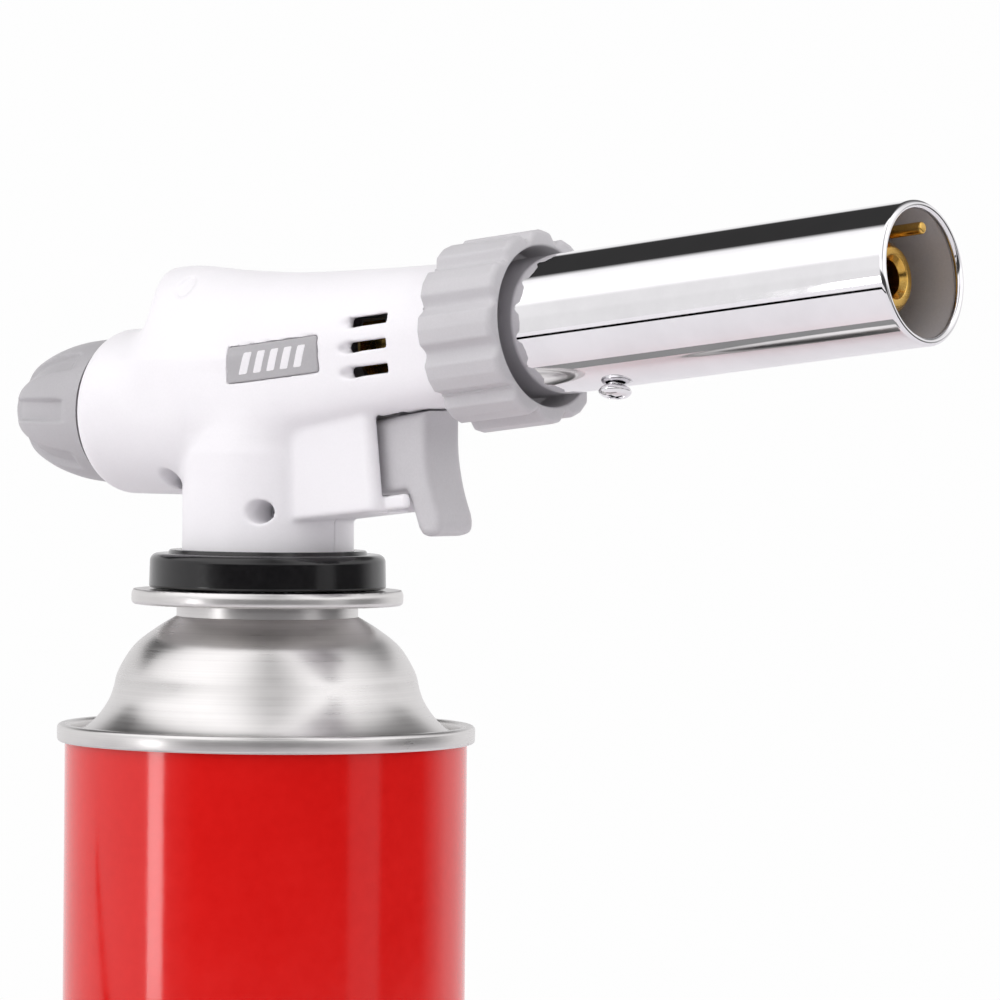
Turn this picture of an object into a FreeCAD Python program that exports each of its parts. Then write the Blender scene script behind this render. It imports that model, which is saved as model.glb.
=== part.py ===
import FreeCAD, Part
import math
import os

from FreeCAD import Placement, Rotation, Vector

# Butane torch locked on a nozzle-type gas cartridge.
# Frame: origin at the centre of the cartridge's foot, +Z up, +X the way the barrel points.
# All sizes are in millimetres.

# Driving dimensions: cartridge
CAN_R = 33.0
CAN_WALL = 0.4
SEAM_R = 34.3
SEAM_H = 2.9
FLANGE_Z = 182.1
FLANGE_R = 22.3
FLANGE_T = 2.4
SHEET_T = 0.6
SEAM_BELOW_FLANGE = 22.5
NECK_HOLE_R = 11.2
VALVE_BOSS_R = 5.6
SLOT_DEG = 20.0
UNLOCK_DEG = 36.0
STEM_R = 1.8
HUB_SCREW_CIRCLE_R = 11.8

# Driving dimensions: torch head, heights counted from the flange's underside
TILT = 6.45
BARREL_H = 39.2
KNOB_H = 31.5
NECK_R = 14.1
NECK_FOOT_H = 7.7
HUB_SCREW_DEG = 60.0
REAR_R = 13.75
REAR_X = -31.3
SHELL_WALL = 1.8
OUTLET_H = 33.6
KNOB_LENGTH = 21.5
KNOB_R = 12.1
KNOB_FRONT_X = -31.8
KNOB_FLUTES = 8
KNOB_FLUTE_R = 2.3

# Driving dimensions: barrel and burner, stations counted along the barrel's axis
TUBE_R = 11.1
TUBE_BORE_R = 10.4
MOUTH_R = 9.75
MOUTH_S = 128.7
TUBE_REAR_S = 46.0
COLLAR_R = 15.1
COLLAR_S = (43.3, 57.65)
COLLAR_GROOVES = 12
COLLAR_GROOVE_R = 2.3
COLLAR_GROOVE_DEG = 13.0
SLEEVE_R = 7.6
MIXER_R = 4.2
ELECTRODE_H = 6.9
ELECTRODE_Y = 1.5
ELECTRODE_R = 0.95
ELECTRODE_END_S = 128.2
TUBE_SCREW_S = 71.5
TUBE_SCREW_LEAN = 12.0

# Driving dimensions: trigger and piezo lighter, in the barrel's tilted frame
TRIGGER_W = 9.4
TRIGGER_TOP_H = -10.75
TRIGGER_FOOT_H = -23.5
BLOCK_HALF_W = 8.0
BLOCK_FLOOR_H = -26.25
BLOCK_FRONT_S = 26.5
LIP_S = 31.2
PIEZO_H = -18.0

# Upper body: station, half width, height above the barrel's axis, depth below it
BODY_SECTIONS = (
    (-22.0, 11.6, 18.4, 12.0),
    (-13.3, 11.6, 18.4, 12.0),
    (-4.7, 11.5, 16.4, 11.8),
    (8.0, 11.4, 14.4, 11.4),
    (20.5, 11.1, 13.35, 10.4),
    (33.0, 10.8, 12.5, 9.7),
    (43.0, 10.7, 12.0, 9.4),
)

# Roundness of the upper body's section above and below the barrel's axis: 2 is an ellipse
RIDGE_POWER = 1.8
BELLY_POWER = 4.0

# Housing screws: x, height, recess radius, y of the head's seat, y of the tip
HOUSING_SCREWS = (
    (-13.0, 52.0, 1.6, -6.3, 4.6),
    (-14.0, 20.3, 1.9, -3.0, 6.2),
    (7.75, 15.5, 1.9, -5.6, 8.6),
)

# Nameplate: first and last station, lowest and highest edge, y of its seat
NAMEPLATE = (1.1, 19.3, -3.2, 2.7)
NAMEPLATE_SEAT = 10.9

FAR = 60.0
BARREL = Placement(Vector(0, 0, FLANGE_Z + BARREL_H), Rotation(Vector(0, 1, 0), -TILT))
REAR = Placement(Vector(0, 0, FLANGE_Z + KNOB_H), Rotation())
Z_TO_X = Placement(Vector(0, 0, 0), Rotation(Vector(0, 1, 0), 90))


def placed(shape, placement):
    """A copy of the shape moved by a placement."""
    copy = shape.copy()
    copy.Placement = placement.multiply(copy.Placement)
    return copy


def box(x0, x1, y0, y1, z0, z1):
    """A box between two corners."""
    return Part.makeBox(x1 - x0, y1 - y0, z1 - z0, Vector(x0, y0, z0))


def cyl(radius, low, high):
    """A cylinder on the Z axis."""
    return Part.makeCylinder(radius, high - low, Vector(0, 0, low))


def ring(outer, inner, low, high):
    """A round tube on the Z axis."""
    return cyl(outer, low, high).cut(cyl(inner, low - 1, high + 1))


def turned(points):
    """A solid turned about the Z axis from (radius, height) corners."""
    corners = [Vector(r, 0, z) for r, z in points]
    face = Part.Face(Part.makePolygon(corners + corners[:1]))
    return face.revolve(Vector(0, 0, 0), Vector(0, 0, 1), 360)


def turned_wall(points, wall):
    """A turned sheet: the (radius, height) curve is its outside, and the wall lies inside it."""
    outer = [Vector(r, 0, z) for r, z in points]
    inner = [Vector(r - wall, 0, z) for r, z in points]
    curve_out, curve_in = Part.BSplineCurve(), Part.BSplineCurve()
    curve_out.interpolate(outer)
    curve_in.interpolate(inner)
    edges = [
        curve_out.toShape(),
        Part.makeLine(outer[-1], inner[-1]),
        curve_in.toShape(),
        Part.makeLine(inner[0], outer[0]),
    ]
    face = Part.Face(Part.Wire(Part.__sortEdges__(edges)))
    return face.revolve(Vector(0, 0, 0), Vector(0, 0, 1), 360)


def sector(outer, inner, low, high, middle_deg, width_deg):
    """A piece of a round tube, width_deg wide about the Z axis."""
    blank = Part.makeCylinder(outer, high - low, Vector(0, 0, low), Vector(0, 0, 1), width_deg)
    blank.rotate(Vector(0, 0, 0), Vector(0, 0, 1), middle_deg - width_deg / 2)
    return blank.cut(cyl(inner, low - 1, high + 1))


def on_flange(shape):
    """Lift a shape whose heights are counted from the flange's underside."""
    shape.translate(Vector(0, 0, FLANGE_Z))
    return shape


def on_barrel(shape):
    """Place a shape built along Z so that it lies along the barrel's axis."""
    return placed(shape, BARREL.multiply(Z_TO_X))


def in_barrel_frame(shape):
    """Place a shape built along X, so that X becomes the barrel's tilted axis."""
    return placed(shape, BARREL)


def on_rear_axis(shape):
    """Place a shape built along Z so that it lies along the knob's level axis, facing +X."""
    return placed(shape, REAR.multiply(Z_TO_X))


def beside(shape, height, across=0.0):
    """Move a shape on the Z axis so that, laid on the barrel, it lies this far above the axis."""
    shape.translate(Vector(-height, across, 0))
    return shape


# Cartridge


def seam_ring(low, body_side):
    """A double seam: a channel folded over the body's edge. body_side is +1 with the body above."""
    high = low + SEAM_H
    wall = ring(SEAM_R, CAN_R + 0.1, low, high)
    chuck = ring(CAN_R - CAN_WALL - 0.1, CAN_R - 1.2, low, high)
    crown = (low, low + 0.6) if body_side > 0 else (high - 0.6, high)
    cap = ring(SEAM_R, CAN_R - 1.2, *crown)
    return wall.fuse([chuck, cap]).removeSplitter()


def can_body():
    """The can's wall, which runs up inside both seams."""
    top = FLANGE_Z - SEAM_BELOW_FLANGE + SEAM_H - 0.7
    return ring(CAN_R, CAN_R - CAN_WALL, 0.7, top)


def can_bottom():
    """The foot seam and the end plate that domes up into the can."""
    rim = CAN_R - 1.2
    dome = turned([(0, 8.6), (12, 7.9), (22, 5.9), (rim, 2.2), (rim, 1.7), (22, 5.4), (12, 7.4), (0, 8.1)])
    return seam_ring(0.0, 1).fuse(dome).removeSplitter()


def can_dome():
    """The top end: seam, gutter, domed shoulder and neck."""
    seam = seam_ring(FLANGE_Z - SEAM_BELOW_FLANGE, -1)
    outline = [
        (14.9, -1.9), (18.2, -3.9), (21.8, -6.8), (24.3, -10.8), (25.1, -13.7),
        (25.9, -15.8), (27.5, -18.2), (29.6, -20.2), (31.8, -21.2),
    ]
    shoulder = on_flange(turned_wall(outline, 0.6))
    gutter = on_flange(ring(CAN_R - 1.0, CAN_R - 1.9, -22.0, -21.1))
    neck = on_flange(ring(14.9, 14.3, -2.1, -0.05))
    return seam.fuse([shoulder, gutter, neck]).removeSplitter()


def can_flange():
    """The mounting flange: a folded rim, three bayonet slots and one locating notch."""
    sheet = ring(FLANGE_R, NECK_HOLE_R, FLANGE_T - SHEET_T, FLANGE_T)
    rim = ring(FLANGE_R, FLANGE_R - 1.0, 0, FLANGE_T)
    neck = ring(14.9, 14.3, 0, FLANGE_T - SHEET_T)
    shape = sheet.fuse([rim, neck]).removeSplitter()
    for k in range(3):
        shape = shape.cut(sector(13.9, 5, 1, 3, SLOT_DEG + 120 * k, 38))
    notch = box(-FLANGE_R - 1, -FLANGE_R + 3.4, -4.5, 4.5, -1, 3)
    notch.rotate(Vector(0, 0, 0), Vector(0, 0, 1), -45)
    return on_flange(shape.cut(notch))


def can_valve_cup():
    """The cup crimped in the can's neck, with a boss that holds the valve."""
    wall = ring(14.1, 13.6, -9.0, -0.1)
    floor = ring(14.1, VALVE_BOSS_R - 0.5, -9.0, -8.5)
    boss = ring(VALVE_BOSS_R, VALVE_BOSS_R - 0.5, -9.0, -3.0)
    lid = ring(VALVE_BOSS_R, STEM_R + 0.6, -3.5, -3.0)
    return on_flange(wall.fuse([floor, boss, lid]).removeSplitter())


def can_valve_housing():
    """The plastic body of the can's valve, with the spigot for the pick-up tube."""
    shell = cyl(VALVE_BOSS_R - 0.55, -20.5, -4.8).cut(cyl(3.2, -19.5, 0))
    spigot = cyl(1.9, -24.0, -20.5)
    return on_flange(shell.fuse(spigot).cut(cyl(0.9, -30, -19)).removeSplitter())


def can_valve_gasket():
    """The rubber washer that the stem seals through."""
    return on_flange(ring(VALVE_BOSS_R - 0.55, STEM_R + 0.05, -4.75, -3.55))


def can_valve_stem():
    """The stem that the torch holds down, with the collar that seals when it rises."""
    stem = cyl(STEM_R, -7.0, 1.6)
    collar = cyl(2.9, -7.5, -6.3)
    pilot = cyl(1.0, -10.0, -7.0)
    passage = cyl(0.55, -5.6, 3)
    return on_flange(stem.fuse([collar, pilot]).cut(passage).removeSplitter())


def can_valve_spring():
    """The space that the valve's coil spring fills."""
    return on_flange(ring(2.6, 1.9, -19.4, -7.6))


def can_dip_tube():
    """The pick-up tube, turned towards the locating notch."""
    bend = 9.0
    low, reach = -33.0, 17.0
    start = Vector(0, 0, -24.1)
    turn_in = Vector(0, 0, low + bend)
    turn_mid = Vector(bend * (1 - math.cos(math.pi / 4)), 0, low + bend * (1 - math.sin(math.pi / 4)))
    turn_out = Vector(bend, 0, low)
    end = Vector(reach, 0, low)
    edges = [
        Part.makeLine(start, turn_in + Vector(0, 0, 0.1)),
        Part.makeLine(turn_in + Vector(0, 0, 0.1), turn_in),
        Part.Arc(turn_in, turn_mid, turn_out).toShape(),
        Part.makeLine(turn_out, end),
    ]
    tube = pipe(edges, start, Vector(0, 0, -1), 1.7)
    tube = tube.cut(cyl(0.9, low, -20))
    tube.rotate(Vector(0, 0, 0), Vector(0, 0, 1), 135)
    return on_flange(tube)


def pipe(edges, start, direction, radius):
    """A round solid swept along straight runs and tangent arcs."""
    circle = Part.Wire(Part.makeCircle(radius, start, direction))
    return Part.Wire(edges).makePipeShell([circle], True, False)


# Mounting foot of the torch


def base_ring():
    """The gloss black foot ring, with a raised rim round the housing's neck."""
    foot, top, rim_top = FLANGE_T + 0.3, 8.4, 9.0
    body = cyl(19.45, foot, top)
    body = body.makeFillet(1.3, [e for e in body.Edges if abs(e.BoundBox.ZMin - top) < 1e-6])
    rim = cyl(16.1, foot, rim_top)
    pocket = cyl(NECK_R + 0.15, 6.0, 12)
    bore = cyl(10.3, 0, 12)
    return on_flange(body.fuse(rim).cut(pocket.fuse(bore)).removeSplitter())


def lock_hub():
    """The steel bayonet hub: its three claws sit under the can's flange."""
    hub = ring(10.2, 8.7, -1.5, 7.4)
    lip = ring(13.4, 8.7, 6.0, 7.4)
    hub = hub.fuse(lip)
    for k in range(3):
        hub = hub.fuse(sector(13.3, 9.5, -1.5, 1.4, SLOT_DEG - UNLOCK_DEG + 120 * k, 30))
    return on_flange(hub.removeSplitter())


def hub_screws():
    """Three countersunk screws that hold the hub in the foot ring."""
    screws = []
    for k in range(3):
        screw = cyl(0.9, 3.2, 6.6).fuse(cyl(1.5, 6.5, 7.35)).removeSplitter()
        screw.translate(Vector(HUB_SCREW_CIRCLE_R, 0, 0))
        screw.rotate(Vector(0, 0, 0), Vector(0, 0, 1), HUB_SCREW_DEG + 120 * k)
        screws.append(on_flange(screw))
    return Part.makeCompound(screws)


def drilled_for_hub_screws(shape):
    """Clear the three screw holes in the hub or the foot ring."""
    for k in range(3):
        hole = cyl(0.95, 3.0, 8.0).fuse(cyl(1.55, 6.45, 8.0))
        hole.translate(Vector(HUB_SCREW_CIRCLE_R, 0, FLANGE_Z))
        hole.rotate(Vector(0, 0, 0), Vector(0, 0, 1), HUB_SCREW_DEG + 120 * k)
        shape = shape.cut(hole)
    return shape


def inlet_gasket():
    """The rubber seat that meets the can's stem."""
    return on_flange(ring(5.0, 1.3, 1.95, 4.0))


def inlet_filter():
    """The sintered disc above the stem."""
    return on_flange(cyl(3.1, 4.1, 5.1))


# Gas valve


def valve_body():
    """The die-cast block: a level needle chamber on top of the upright inlet pipe."""
    inlet = cyl(4.2, 4.0, 27.5)
    foot = cyl(8.5, 4.0, 6.0)
    upright = on_flange(inlet.fuse(foot).cut(cyl(3.2, 3, 5.2)).cut(cyl(1.2, 3, 32)))
    chamber = on_rear_axis(cyl(5.6, -21.0, 7.5))
    spindle_bore = on_rear_axis(cyl(2.6, -22.0, -4.0))
    throat = on_rear_axis(cyl(0.8, -5.0, 6.0))
    outlet = placed(cyl(1.35, 2.0, 8.0), Placement(Vector(0, 0, FLANGE_Z + OUTLET_H), Z_TO_X.Rotation))
    riser = on_flange(cyl(0.8, KNOB_H, OUTLET_H))
    riser.translate(Vector(4.0, 0, 0))
    inlet_bore = on_flange(cyl(1.2, 20, KNOB_H))
    block = upright.fuse(chamber).cut(spindle_bore).cut(throat).cut(outlet).cut(riser).cut(inlet_bore)
    return block.removeSplitter()


def gland_nut():
    """A hexagon brass nut that closes the chamber round the spindle."""
    corners = [
        Vector(6.2 * math.cos(math.radians(60 * k)), 6.2 * math.sin(math.radians(60 * k)), -24.6)
        for k in range(6)
    ]
    face = Part.Face(Part.makePolygon(corners + corners[:1]))
    nut = face.extrude(Vector(0, 0, 3.5))
    return on_rear_axis(nut.cut(cyl(2.07, -30, -20)))


def spindle_seal():
    """The ring that seals the spindle, on its backing sleeve."""
    seal = Part.makeTorus(2.3, 0.24, Vector(0, 0, -18.0))
    sleeve = ring(2.54, 2.06, -18.6, -17.4)
    return on_rear_axis(sleeve.fuse(seal).removeSplitter())


def regulator_spindle():
    """The needle spindle, with the thread's outside as a plain land."""
    rod = turned([(0, -49.0), (2.0, -49.0), (2.0, -15.0), (2.5, -15.0), (2.5, -9.0), (2.0, -9.0),
                  (2.0, -6.0), (0.55, -3.6), (0.55, -1.5), (0, -1.5)])
    flat = box(1.4, 3, -3, 3, -49.5, -36.0)
    return on_rear_axis(rod.cut(flat))


def knob_outline(radius, length, front):
    """Half an ellipse, turned: the knob's dome, with its blunt end cut flat."""
    steps = 12
    blunt = math.radians(78)
    angles = [blunt * k / steps for k in range(steps + 1)]
    curve = Part.BSplineCurve()
    curve.interpolate([Vector(radius * math.cos(a), 0, front - length * math.sin(a)) for a in angles])
    rim, tip = Vector(radius, 0, front), curve.value(curve.LastParameter)
    edges = [
        curve.toShape(),
        Part.makeLine(tip, Vector(0, 0, tip.z)),
        Part.makeLine(Vector(0, 0, tip.z), Vector(0, 0, front)),
        Part.makeLine(Vector(0, 0, front), rim),
    ]
    return Part.Face(Part.Wire(edges)).revolve(Vector(0, 0, 0), Vector(0, 0, 1), 360)


def knob():
    """The fluted regulator knob: a dome with a hub that grips the spindle's flat."""
    dome = knob_outline(KNOB_R, KNOB_LENGTH, KNOB_FRONT_X)
    hollow = knob_outline(KNOB_R - 1.8, KNOB_LENGTH - 3.5, KNOB_FRONT_X + 0.01)
    hub = cyl(3.8, KNOB_FRONT_X - KNOB_LENGTH + 2, KNOB_FRONT_X - 1.0)
    bore = cyl(2.02, -49.2, KNOB_FRONT_X).cut(box(1.42, 3, -3, 3, -50, -36.0))
    screw_hole = cyl(1.1, -60, -49)
    screw_pocket = cyl(2.6, -60, -51.2)
    shape = dome.cut(hollow).fuse(hub).cut(bore).cut(screw_hole).cut(screw_pocket)
    for k in range(KNOB_FLUTES):
        start = Vector(KNOB_R + KNOB_FLUTE_R - 0.9, 0, KNOB_FRONT_X - 3.5)
        flute = Part.makeCylinder(KNOB_FLUTE_R, 30, start, Vector(-0.25, 0, -1))
        flute.rotate(Vector(0, 0, 0), Vector(0, 0, 1), 360.0 / KNOB_FLUTES * k)
        shape = shape.cut(flute)
    return on_rear_axis(shape.removeSplitter())


def knob_screw():
    """The screw that holds the knob on its spindle."""
    shank = cyl(1.05, -51.2, -49.05)
    head = cyl(2.4, -52.6, -51.2)
    return on_rear_axis(shank.fuse(head).removeSplitter())


# Burner


def gas_tube():
    """The thin tube that lifts the gas from the valve to the jet, on the barrel's axis."""
    rise = math.radians(TILT)
    end_s = 18.9
    start = Vector(5.6, 0, FLANGE_Z + OUTLET_H)
    knee = Vector(10.8, 0, FLANGE_Z + OUTLET_H)
    bend_s = 15.6
    elbow = Vector(bend_s * math.cos(rise), 0, FLANGE_Z + BARREL_H + bend_s * math.sin(rise))
    end = Vector(end_s * math.cos(rise), 0, FLANGE_Z + BARREL_H + end_s * math.sin(rise))
    return pipe(rounded_route([start, knee, elbow, end]), start, Vector(1, 0, 0), 1.2)


def rounded_route(points):
    """Straight runs through the points with a tangent arc at each one, as large as its runs allow."""
    edges, at = [], points[0]
    for before, corner, after in zip(points, points[1:], points[2:]):
        run_in, run_out = corner - before, after - corner
        reach = 0.45 * min(run_in.Length, run_out.Length)
        first = corner - Vector(run_in).normalize() * reach
        last = corner + Vector(run_out).normalize() * reach
        turn = run_in.getAngle(run_out)
        radius = reach / math.tan(turn / 2)
        inward = ((first + last) * 0.5 - corner).normalize()
        middle = corner + inward * (radius / math.cos(turn / 2) - radius)
        edges += [Part.makeLine(at, first), Part.Arc(first, middle, last).toShape()]
        print("arc radius", round(radius, 2))
        at = last
    return edges + [Part.makeLine(at, points[-1])]


def jet_holder():
    """The brass holder that the housing's ribs grip: gas tube behind, jet and mixer in front."""
    hub = cyl(3.35, 17.0, 24.0)
    flange = cyl(8.6, 18.0, 20.0)
    lead_hole = beside(cyl(1.6, 17, 21), 5.9)
    shape = hub.fuse(flange).cut(cyl(1.25, 16, 20.4)).cut(cyl(1.7, 20.4, 25)).cut(lead_hole)
    return on_barrel(shape.removeSplitter())


def gas_jet():
    """The jet, with its fine hole left at 0.7 mm."""
    jet = turned([(0.35, 20.5), (1.65, 20.5), (1.65, 24.2), (2.6, 24.2), (2.6, 25.6), (1.2, 27.0), (0.35, 27.0)])
    return on_barrel(jet)


def mixer_tube():
    """The brass mixing tube, with four air ports beside the jet."""
    tube = ring(MIXER_R, 3.4, 20.3, 113.0)
    for angle in (45, 135, 225, 315):
        port = Part.makeCylinder(1.3, 8, Vector(0, 0, 28.5), Vector(1, 0, 0))
        port.rotate(Vector(0, 0, 28.5), Vector(0, 0, 1), angle)
        tube = tube.cut(port)
    return on_barrel(tube)


def burner_nozzle():
    """The brass nozzle at the mouth: a bevelled ring round the flame's hole."""
    nozzle = turned([(3.0, 113.1), (3.0, 114.5), (2.7, 116.5), (2.7, 122.3), (3.4, 123.3), (4.6, 123.3),
                     (5.7, 122.1), (5.7, 111.0), (4.25, 111.0), (4.25, 113.1)])
    return on_barrel(nozzle)


def burner_disc():
    """The perforated disc that centres the mixer and the insulator near the mouth."""
    disc = ring(10.3, 4.25, 98.0, 99.5).cut(beside(cyl(2.0, 97, 100), ELECTRODE_H, ELECTRODE_Y))
    for k in range(2, 11):
        angle = math.radians(30 * k)
        hole = cyl(1.2, 97, 100)
        hole.translate(Vector(-7.3 * math.cos(angle), 7.3 * math.sin(angle), 0))
        disc = disc.cut(hole)
    return on_barrel(disc)


def barrel_socket():
    """The ring on the mixer tube that carries the barrel."""
    socket = ring(10.35, 4.25, 65.0, 78.0).cut(beside(cyl(2.0, 64, 79), ELECTRODE_H, ELECTRODE_Y))
    for k in (2, 3, 4, 8, 9, 10):
        angle = math.radians(30 * k)
        vent = cyl(1.6, 57, 71)
        vent.translate(Vector(-7.3 * math.cos(angle), 7.3 * math.sin(angle), 0))
        socket = socket.cut(vent)
    return on_barrel(socket.cut(screw_axis_hole(1.35)))


def barrel_tube():
    """The polished barrel, with its edge rolled in at the mouth."""
    lip = (TUBE_R - MOUTH_R) / 2
    middle = (TUBE_R + MOUTH_R) / 2
    wall = ring(TUBE_R, TUBE_BORE_R, TUBE_REAR_S, MOUTH_S - lip)
    roll = Part.makeTorus(middle, lip, Vector(0, 0, MOUTH_S - lip))
    return on_barrel(wall.fuse(roll).cut(screw_axis_hole(1.5)).removeSplitter())


def screw_axis_hole(radius, inner=6.0, outer=14.0):
    """A cylinder across the barrel at the tube screw's place, built along Z like the barrel."""
    hole = Part.makeCylinder(radius, outer - inner, Vector(inner, 0, TUBE_SCREW_S), Vector(1, 0, 0))
    hole.rotate(Vector(0, 0, 0), Vector(0, 0, 1), -TUBE_SCREW_LEAN)
    return hole


def tube_screw():
    """The domed screw under the barrel that holds it on its socket."""
    shank = screw_axis_hole(1.3, 6.3, TUBE_R + 0.3)
    dome = Part.makeSphere(2.9, Vector(TUBE_R - 0.9, 0, TUBE_SCREW_S))
    slab = box(TUBE_R + 0.05, TUBE_R + 3, -4, 4, TUBE_SCREW_S - 4, TUBE_SCREW_S + 4)
    dome = dome.common(slab)
    dome.rotate(Vector(0, 0, 0), Vector(0, 0, 1), -TUBE_SCREW_LEAN)
    return on_barrel(shank.fuse(dome).removeSplitter())


def electrode():
    """The spark rod, which ends just inside the mouth."""
    return on_barrel(beside(cyl(ELECTRODE_R, 56.6, ELECTRODE_END_S), ELECTRODE_H, ELECTRODE_Y))


def electrode_insulator():
    """The ceramic sleeve round the spark rod."""
    return on_barrel(beside(ring(1.9, ELECTRODE_R + 0.05, 57.2, 106.0), ELECTRODE_H, ELECTRODE_Y))


# Air control


def air_collar():
    """The scalloped collar: turning it turns the sleeve over the vents."""
    low, high = COLLAR_S
    body = turned([(SLEEVE_R, low), (COLLAR_R - 0.5, low), (COLLAR_R, low + 0.5),
                   (COLLAR_R, high - 0.8), (COLLAR_R - 0.8, high),
                   (TUBE_R + 2.0, high), (TUBE_R + 1.9, high - 7.0), (TUBE_R + 0.4, high - 7.4),
                   (TUBE_R + 0.4, low + 2.0), (SLEEVE_R, low + 2.0)])
    for k in range(COLLAR_GROOVES):
        groove = cyl(COLLAR_GROOVE_R, low - 2, high + 2)
        groove.translate(Vector(-COLLAR_R - COLLAR_GROOVE_R + 0.95, 0, 0))
        angle = COLLAR_GROOVE_DEG + 360.0 / COLLAR_GROOVES * k
        groove.rotate(Vector(0, 0, 0), Vector(0, 0, 1), angle)
        body = body.cut(groove)
    return on_barrel(body.removeSplitter())


def air_sleeve():
    """The sleeve inside the housing, with two windows that meet the vents."""
    sleeve = ring(SLEEVE_R, SLEEVE_R - 0.6, 21.6, COLLAR_S[0] + 2.0)
    for side in (90, 270):
        sleeve = sleeve.cut(sector(SLEEVE_R + 1, 4, 25.0, 34.0, side, 74))
    return on_barrel(sleeve.removeSplitter())


# Trigger and piezo lighter


def trigger():
    """The pull trigger: a hollow slider with a curved front and a hooked toe."""
    half = TRIGGER_W / 2
    front_top = Vector(35.4, -half, TRIGGER_TOP_H + 0.7)
    waist, toe_front = Vector(34.75, -half, -17.8), Vector(36.25, -half, -27.8)
    toe_tip, toe_foot, toe_back = Vector(36.3, -half, -29.6), Vector(35.4, -half, -30.9), Vector(33.2, -half, -31.0)
    heel, neck = Vector(31.8, -half, -29.7), Vector(30.0, -half, TRIGGER_FOOT_H)
    rear_foot, rear_top = Vector(17.5, -half, TRIGGER_FOOT_H), Vector(17.5, -half, TRIGGER_TOP_H)
    edges = [
        Part.Arc(front_top, waist, toe_front).toShape(),
        Part.makeLine(toe_front, toe_tip),
        Part.makeLine(toe_tip, toe_foot),
        Part.makeLine(toe_foot, toe_back),
        Part.makeLine(toe_back, heel),
        Part.makeLine(heel, neck),
        Part.makeLine(neck, rear_foot),
        Part.makeLine(rear_foot, rear_top),
        Part.makeLine(rear_top, front_top),
    ]
    solid = Part.Face(Part.Wire(edges)).extrude(Vector(0, TRIGGER_W, 0))
    hollow = box(17.0, 33.0, -3.5, 3.5, -21.9, -12.1)
    return in_barrel_frame(solid.cut(hollow))


def piezo_body():
    """The lighter's case, open in front for its plunger."""
    case = box(3.6, 24.5, -3.2, 3.2, PIEZO_H - 3.4, PIEZO_H + 3.4)
    bore = box(12.6, 25, -2.4, 2.4, PIEZO_H - 2.8, PIEZO_H + 2.8)
    return in_barrel_frame(case.cut(bore))


def piezo_plunger():
    """The plunger that the trigger drives into the case."""
    return in_barrel_frame(box(19.6, 32.9, -2.2, 2.2, PIEZO_H - 2.6, PIEZO_H + 2.6))


def piezo_spring():
    """The space that the plunger's return spring fills."""
    spring = ring(2.1, 1.4, 12.8, 19.4)
    return on_barrel(beside(spring, PIEZO_H))


def earth_contact():
    """The sprung strip between the lighter's case and the valve block."""
    return on_flange(box(4.3, 5.0, -1.5, 1.5, 17.6, 24.0))


def lead_route():
    """Centre line of the ignition lead, from the lighter's side up to the electrode."""
    def in_world(s, across, height):
        return BARREL.multVec(Vector(s, across, height))

    return [
        Vector(8.6, 2.9, FLANGE_Z + 20.5),
        Vector(10.2, 4.8, FLANGE_Z + 26.5),
        Vector(10.7, 4.8, FLANGE_Z + 40.0),
        in_world(16.0, 0, 5.7),
        in_world(44.0, 0, 5.7),
        in_world(56.4, ELECTRODE_Y, ELECTRODE_H),
    ]


def ignition_lead():
    """The high-voltage lead, held between the lighter, the jet holder and the electrode."""
    points = lead_route()
    edges = rounded_route(points)
    lead = pipe(edges, points[0], points[1] - points[0], 0.8)
    length = sum(edge.Length for edge in edges)
    print("lead length", round(length, 1), "volume ratio", round(lead.Volume / (length * math.pi * 0.64), 4))
    return lead


# Housing


def body_section(station, half_w, above, below, shrink):
    """One closed section of the upper body: full sides below, drawn in to a ridge on top."""
    half_w, above, below = half_w - shrink, above - shrink, below - min(shrink, 1.5)
    points = []
    for k in range(24):
        angle = 2 * math.pi * k / 24
        up, out = math.sin(angle), math.cos(angle)
        power = 2 / RIDGE_POWER if up > 0 else 2 / BELLY_POWER
        height = (above if up > 0 else below) * math.copysign(abs(up) ** power, up)
        points.append(Vector(station, half_w * math.copysign(abs(out) ** power, out), height))
    curve = Part.BSplineCurve()
    curve.interpolate(Points=points, PeriodicFlag=True)
    return Part.Wire(curve.toShape())


def upper_body(shrink, overrun):
    """The long body round the barrel's axis, rounded off in plan at the rear."""
    sections = [body_section(*row, shrink) for row in BODY_SECTIONS]
    if overrun:
        station, half_w, above, below = BODY_SECTIONS[-1]
        sections.append(body_section(station + overrun, half_w, above, below, shrink))
    loft = in_barrel_frame(Part.makeLoft(sections, True, False))
    centre = Vector(-12.0, 0, 0)
    across, back = 12.6 - shrink, 9.0 - shrink
    ellipse = Part.Ellipse(centre + Vector(0, across, 0), centre + Vector(-back, 0, 0), centre)
    low = FLANGE_Z + 10
    round_end = Part.Face(Part.Wire(ellipse.toShape())).extrude(Vector(0, 0, FAR))
    plan = box(centre.x, FAR, -FAR, FAR, 0, FAR).fuse(round_end)
    plan.translate(Vector(0, 0, low))
    return loft.common(plan)


def housing_outside():
    """The housing's outer form as one solid."""
    rear = on_rear_axis(cyl(REAR_R, REAR_X, 4.0))
    rear = rear.makeFillet(1.6, [e for e in rear.Edges if abs(e.BoundBox.XMax - REAR_X) < 1e-6])
    neck = on_flange(cyl(NECK_R, NECK_FOOT_H, KNOB_H))
    block = in_barrel_frame(box(0, BLOCK_FRONT_S, -BLOCK_HALF_W, BLOCK_HALF_W, BLOCK_FLOOR_H, -6.0))
    lip = in_barrel_frame(box(10, LIP_S, -6.0, 6.0, BLOCK_FLOOR_H, TRIGGER_FOOT_H - 0.45))
    return upper_body(0, 0).fuse([rear, neck, block, lip])


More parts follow.
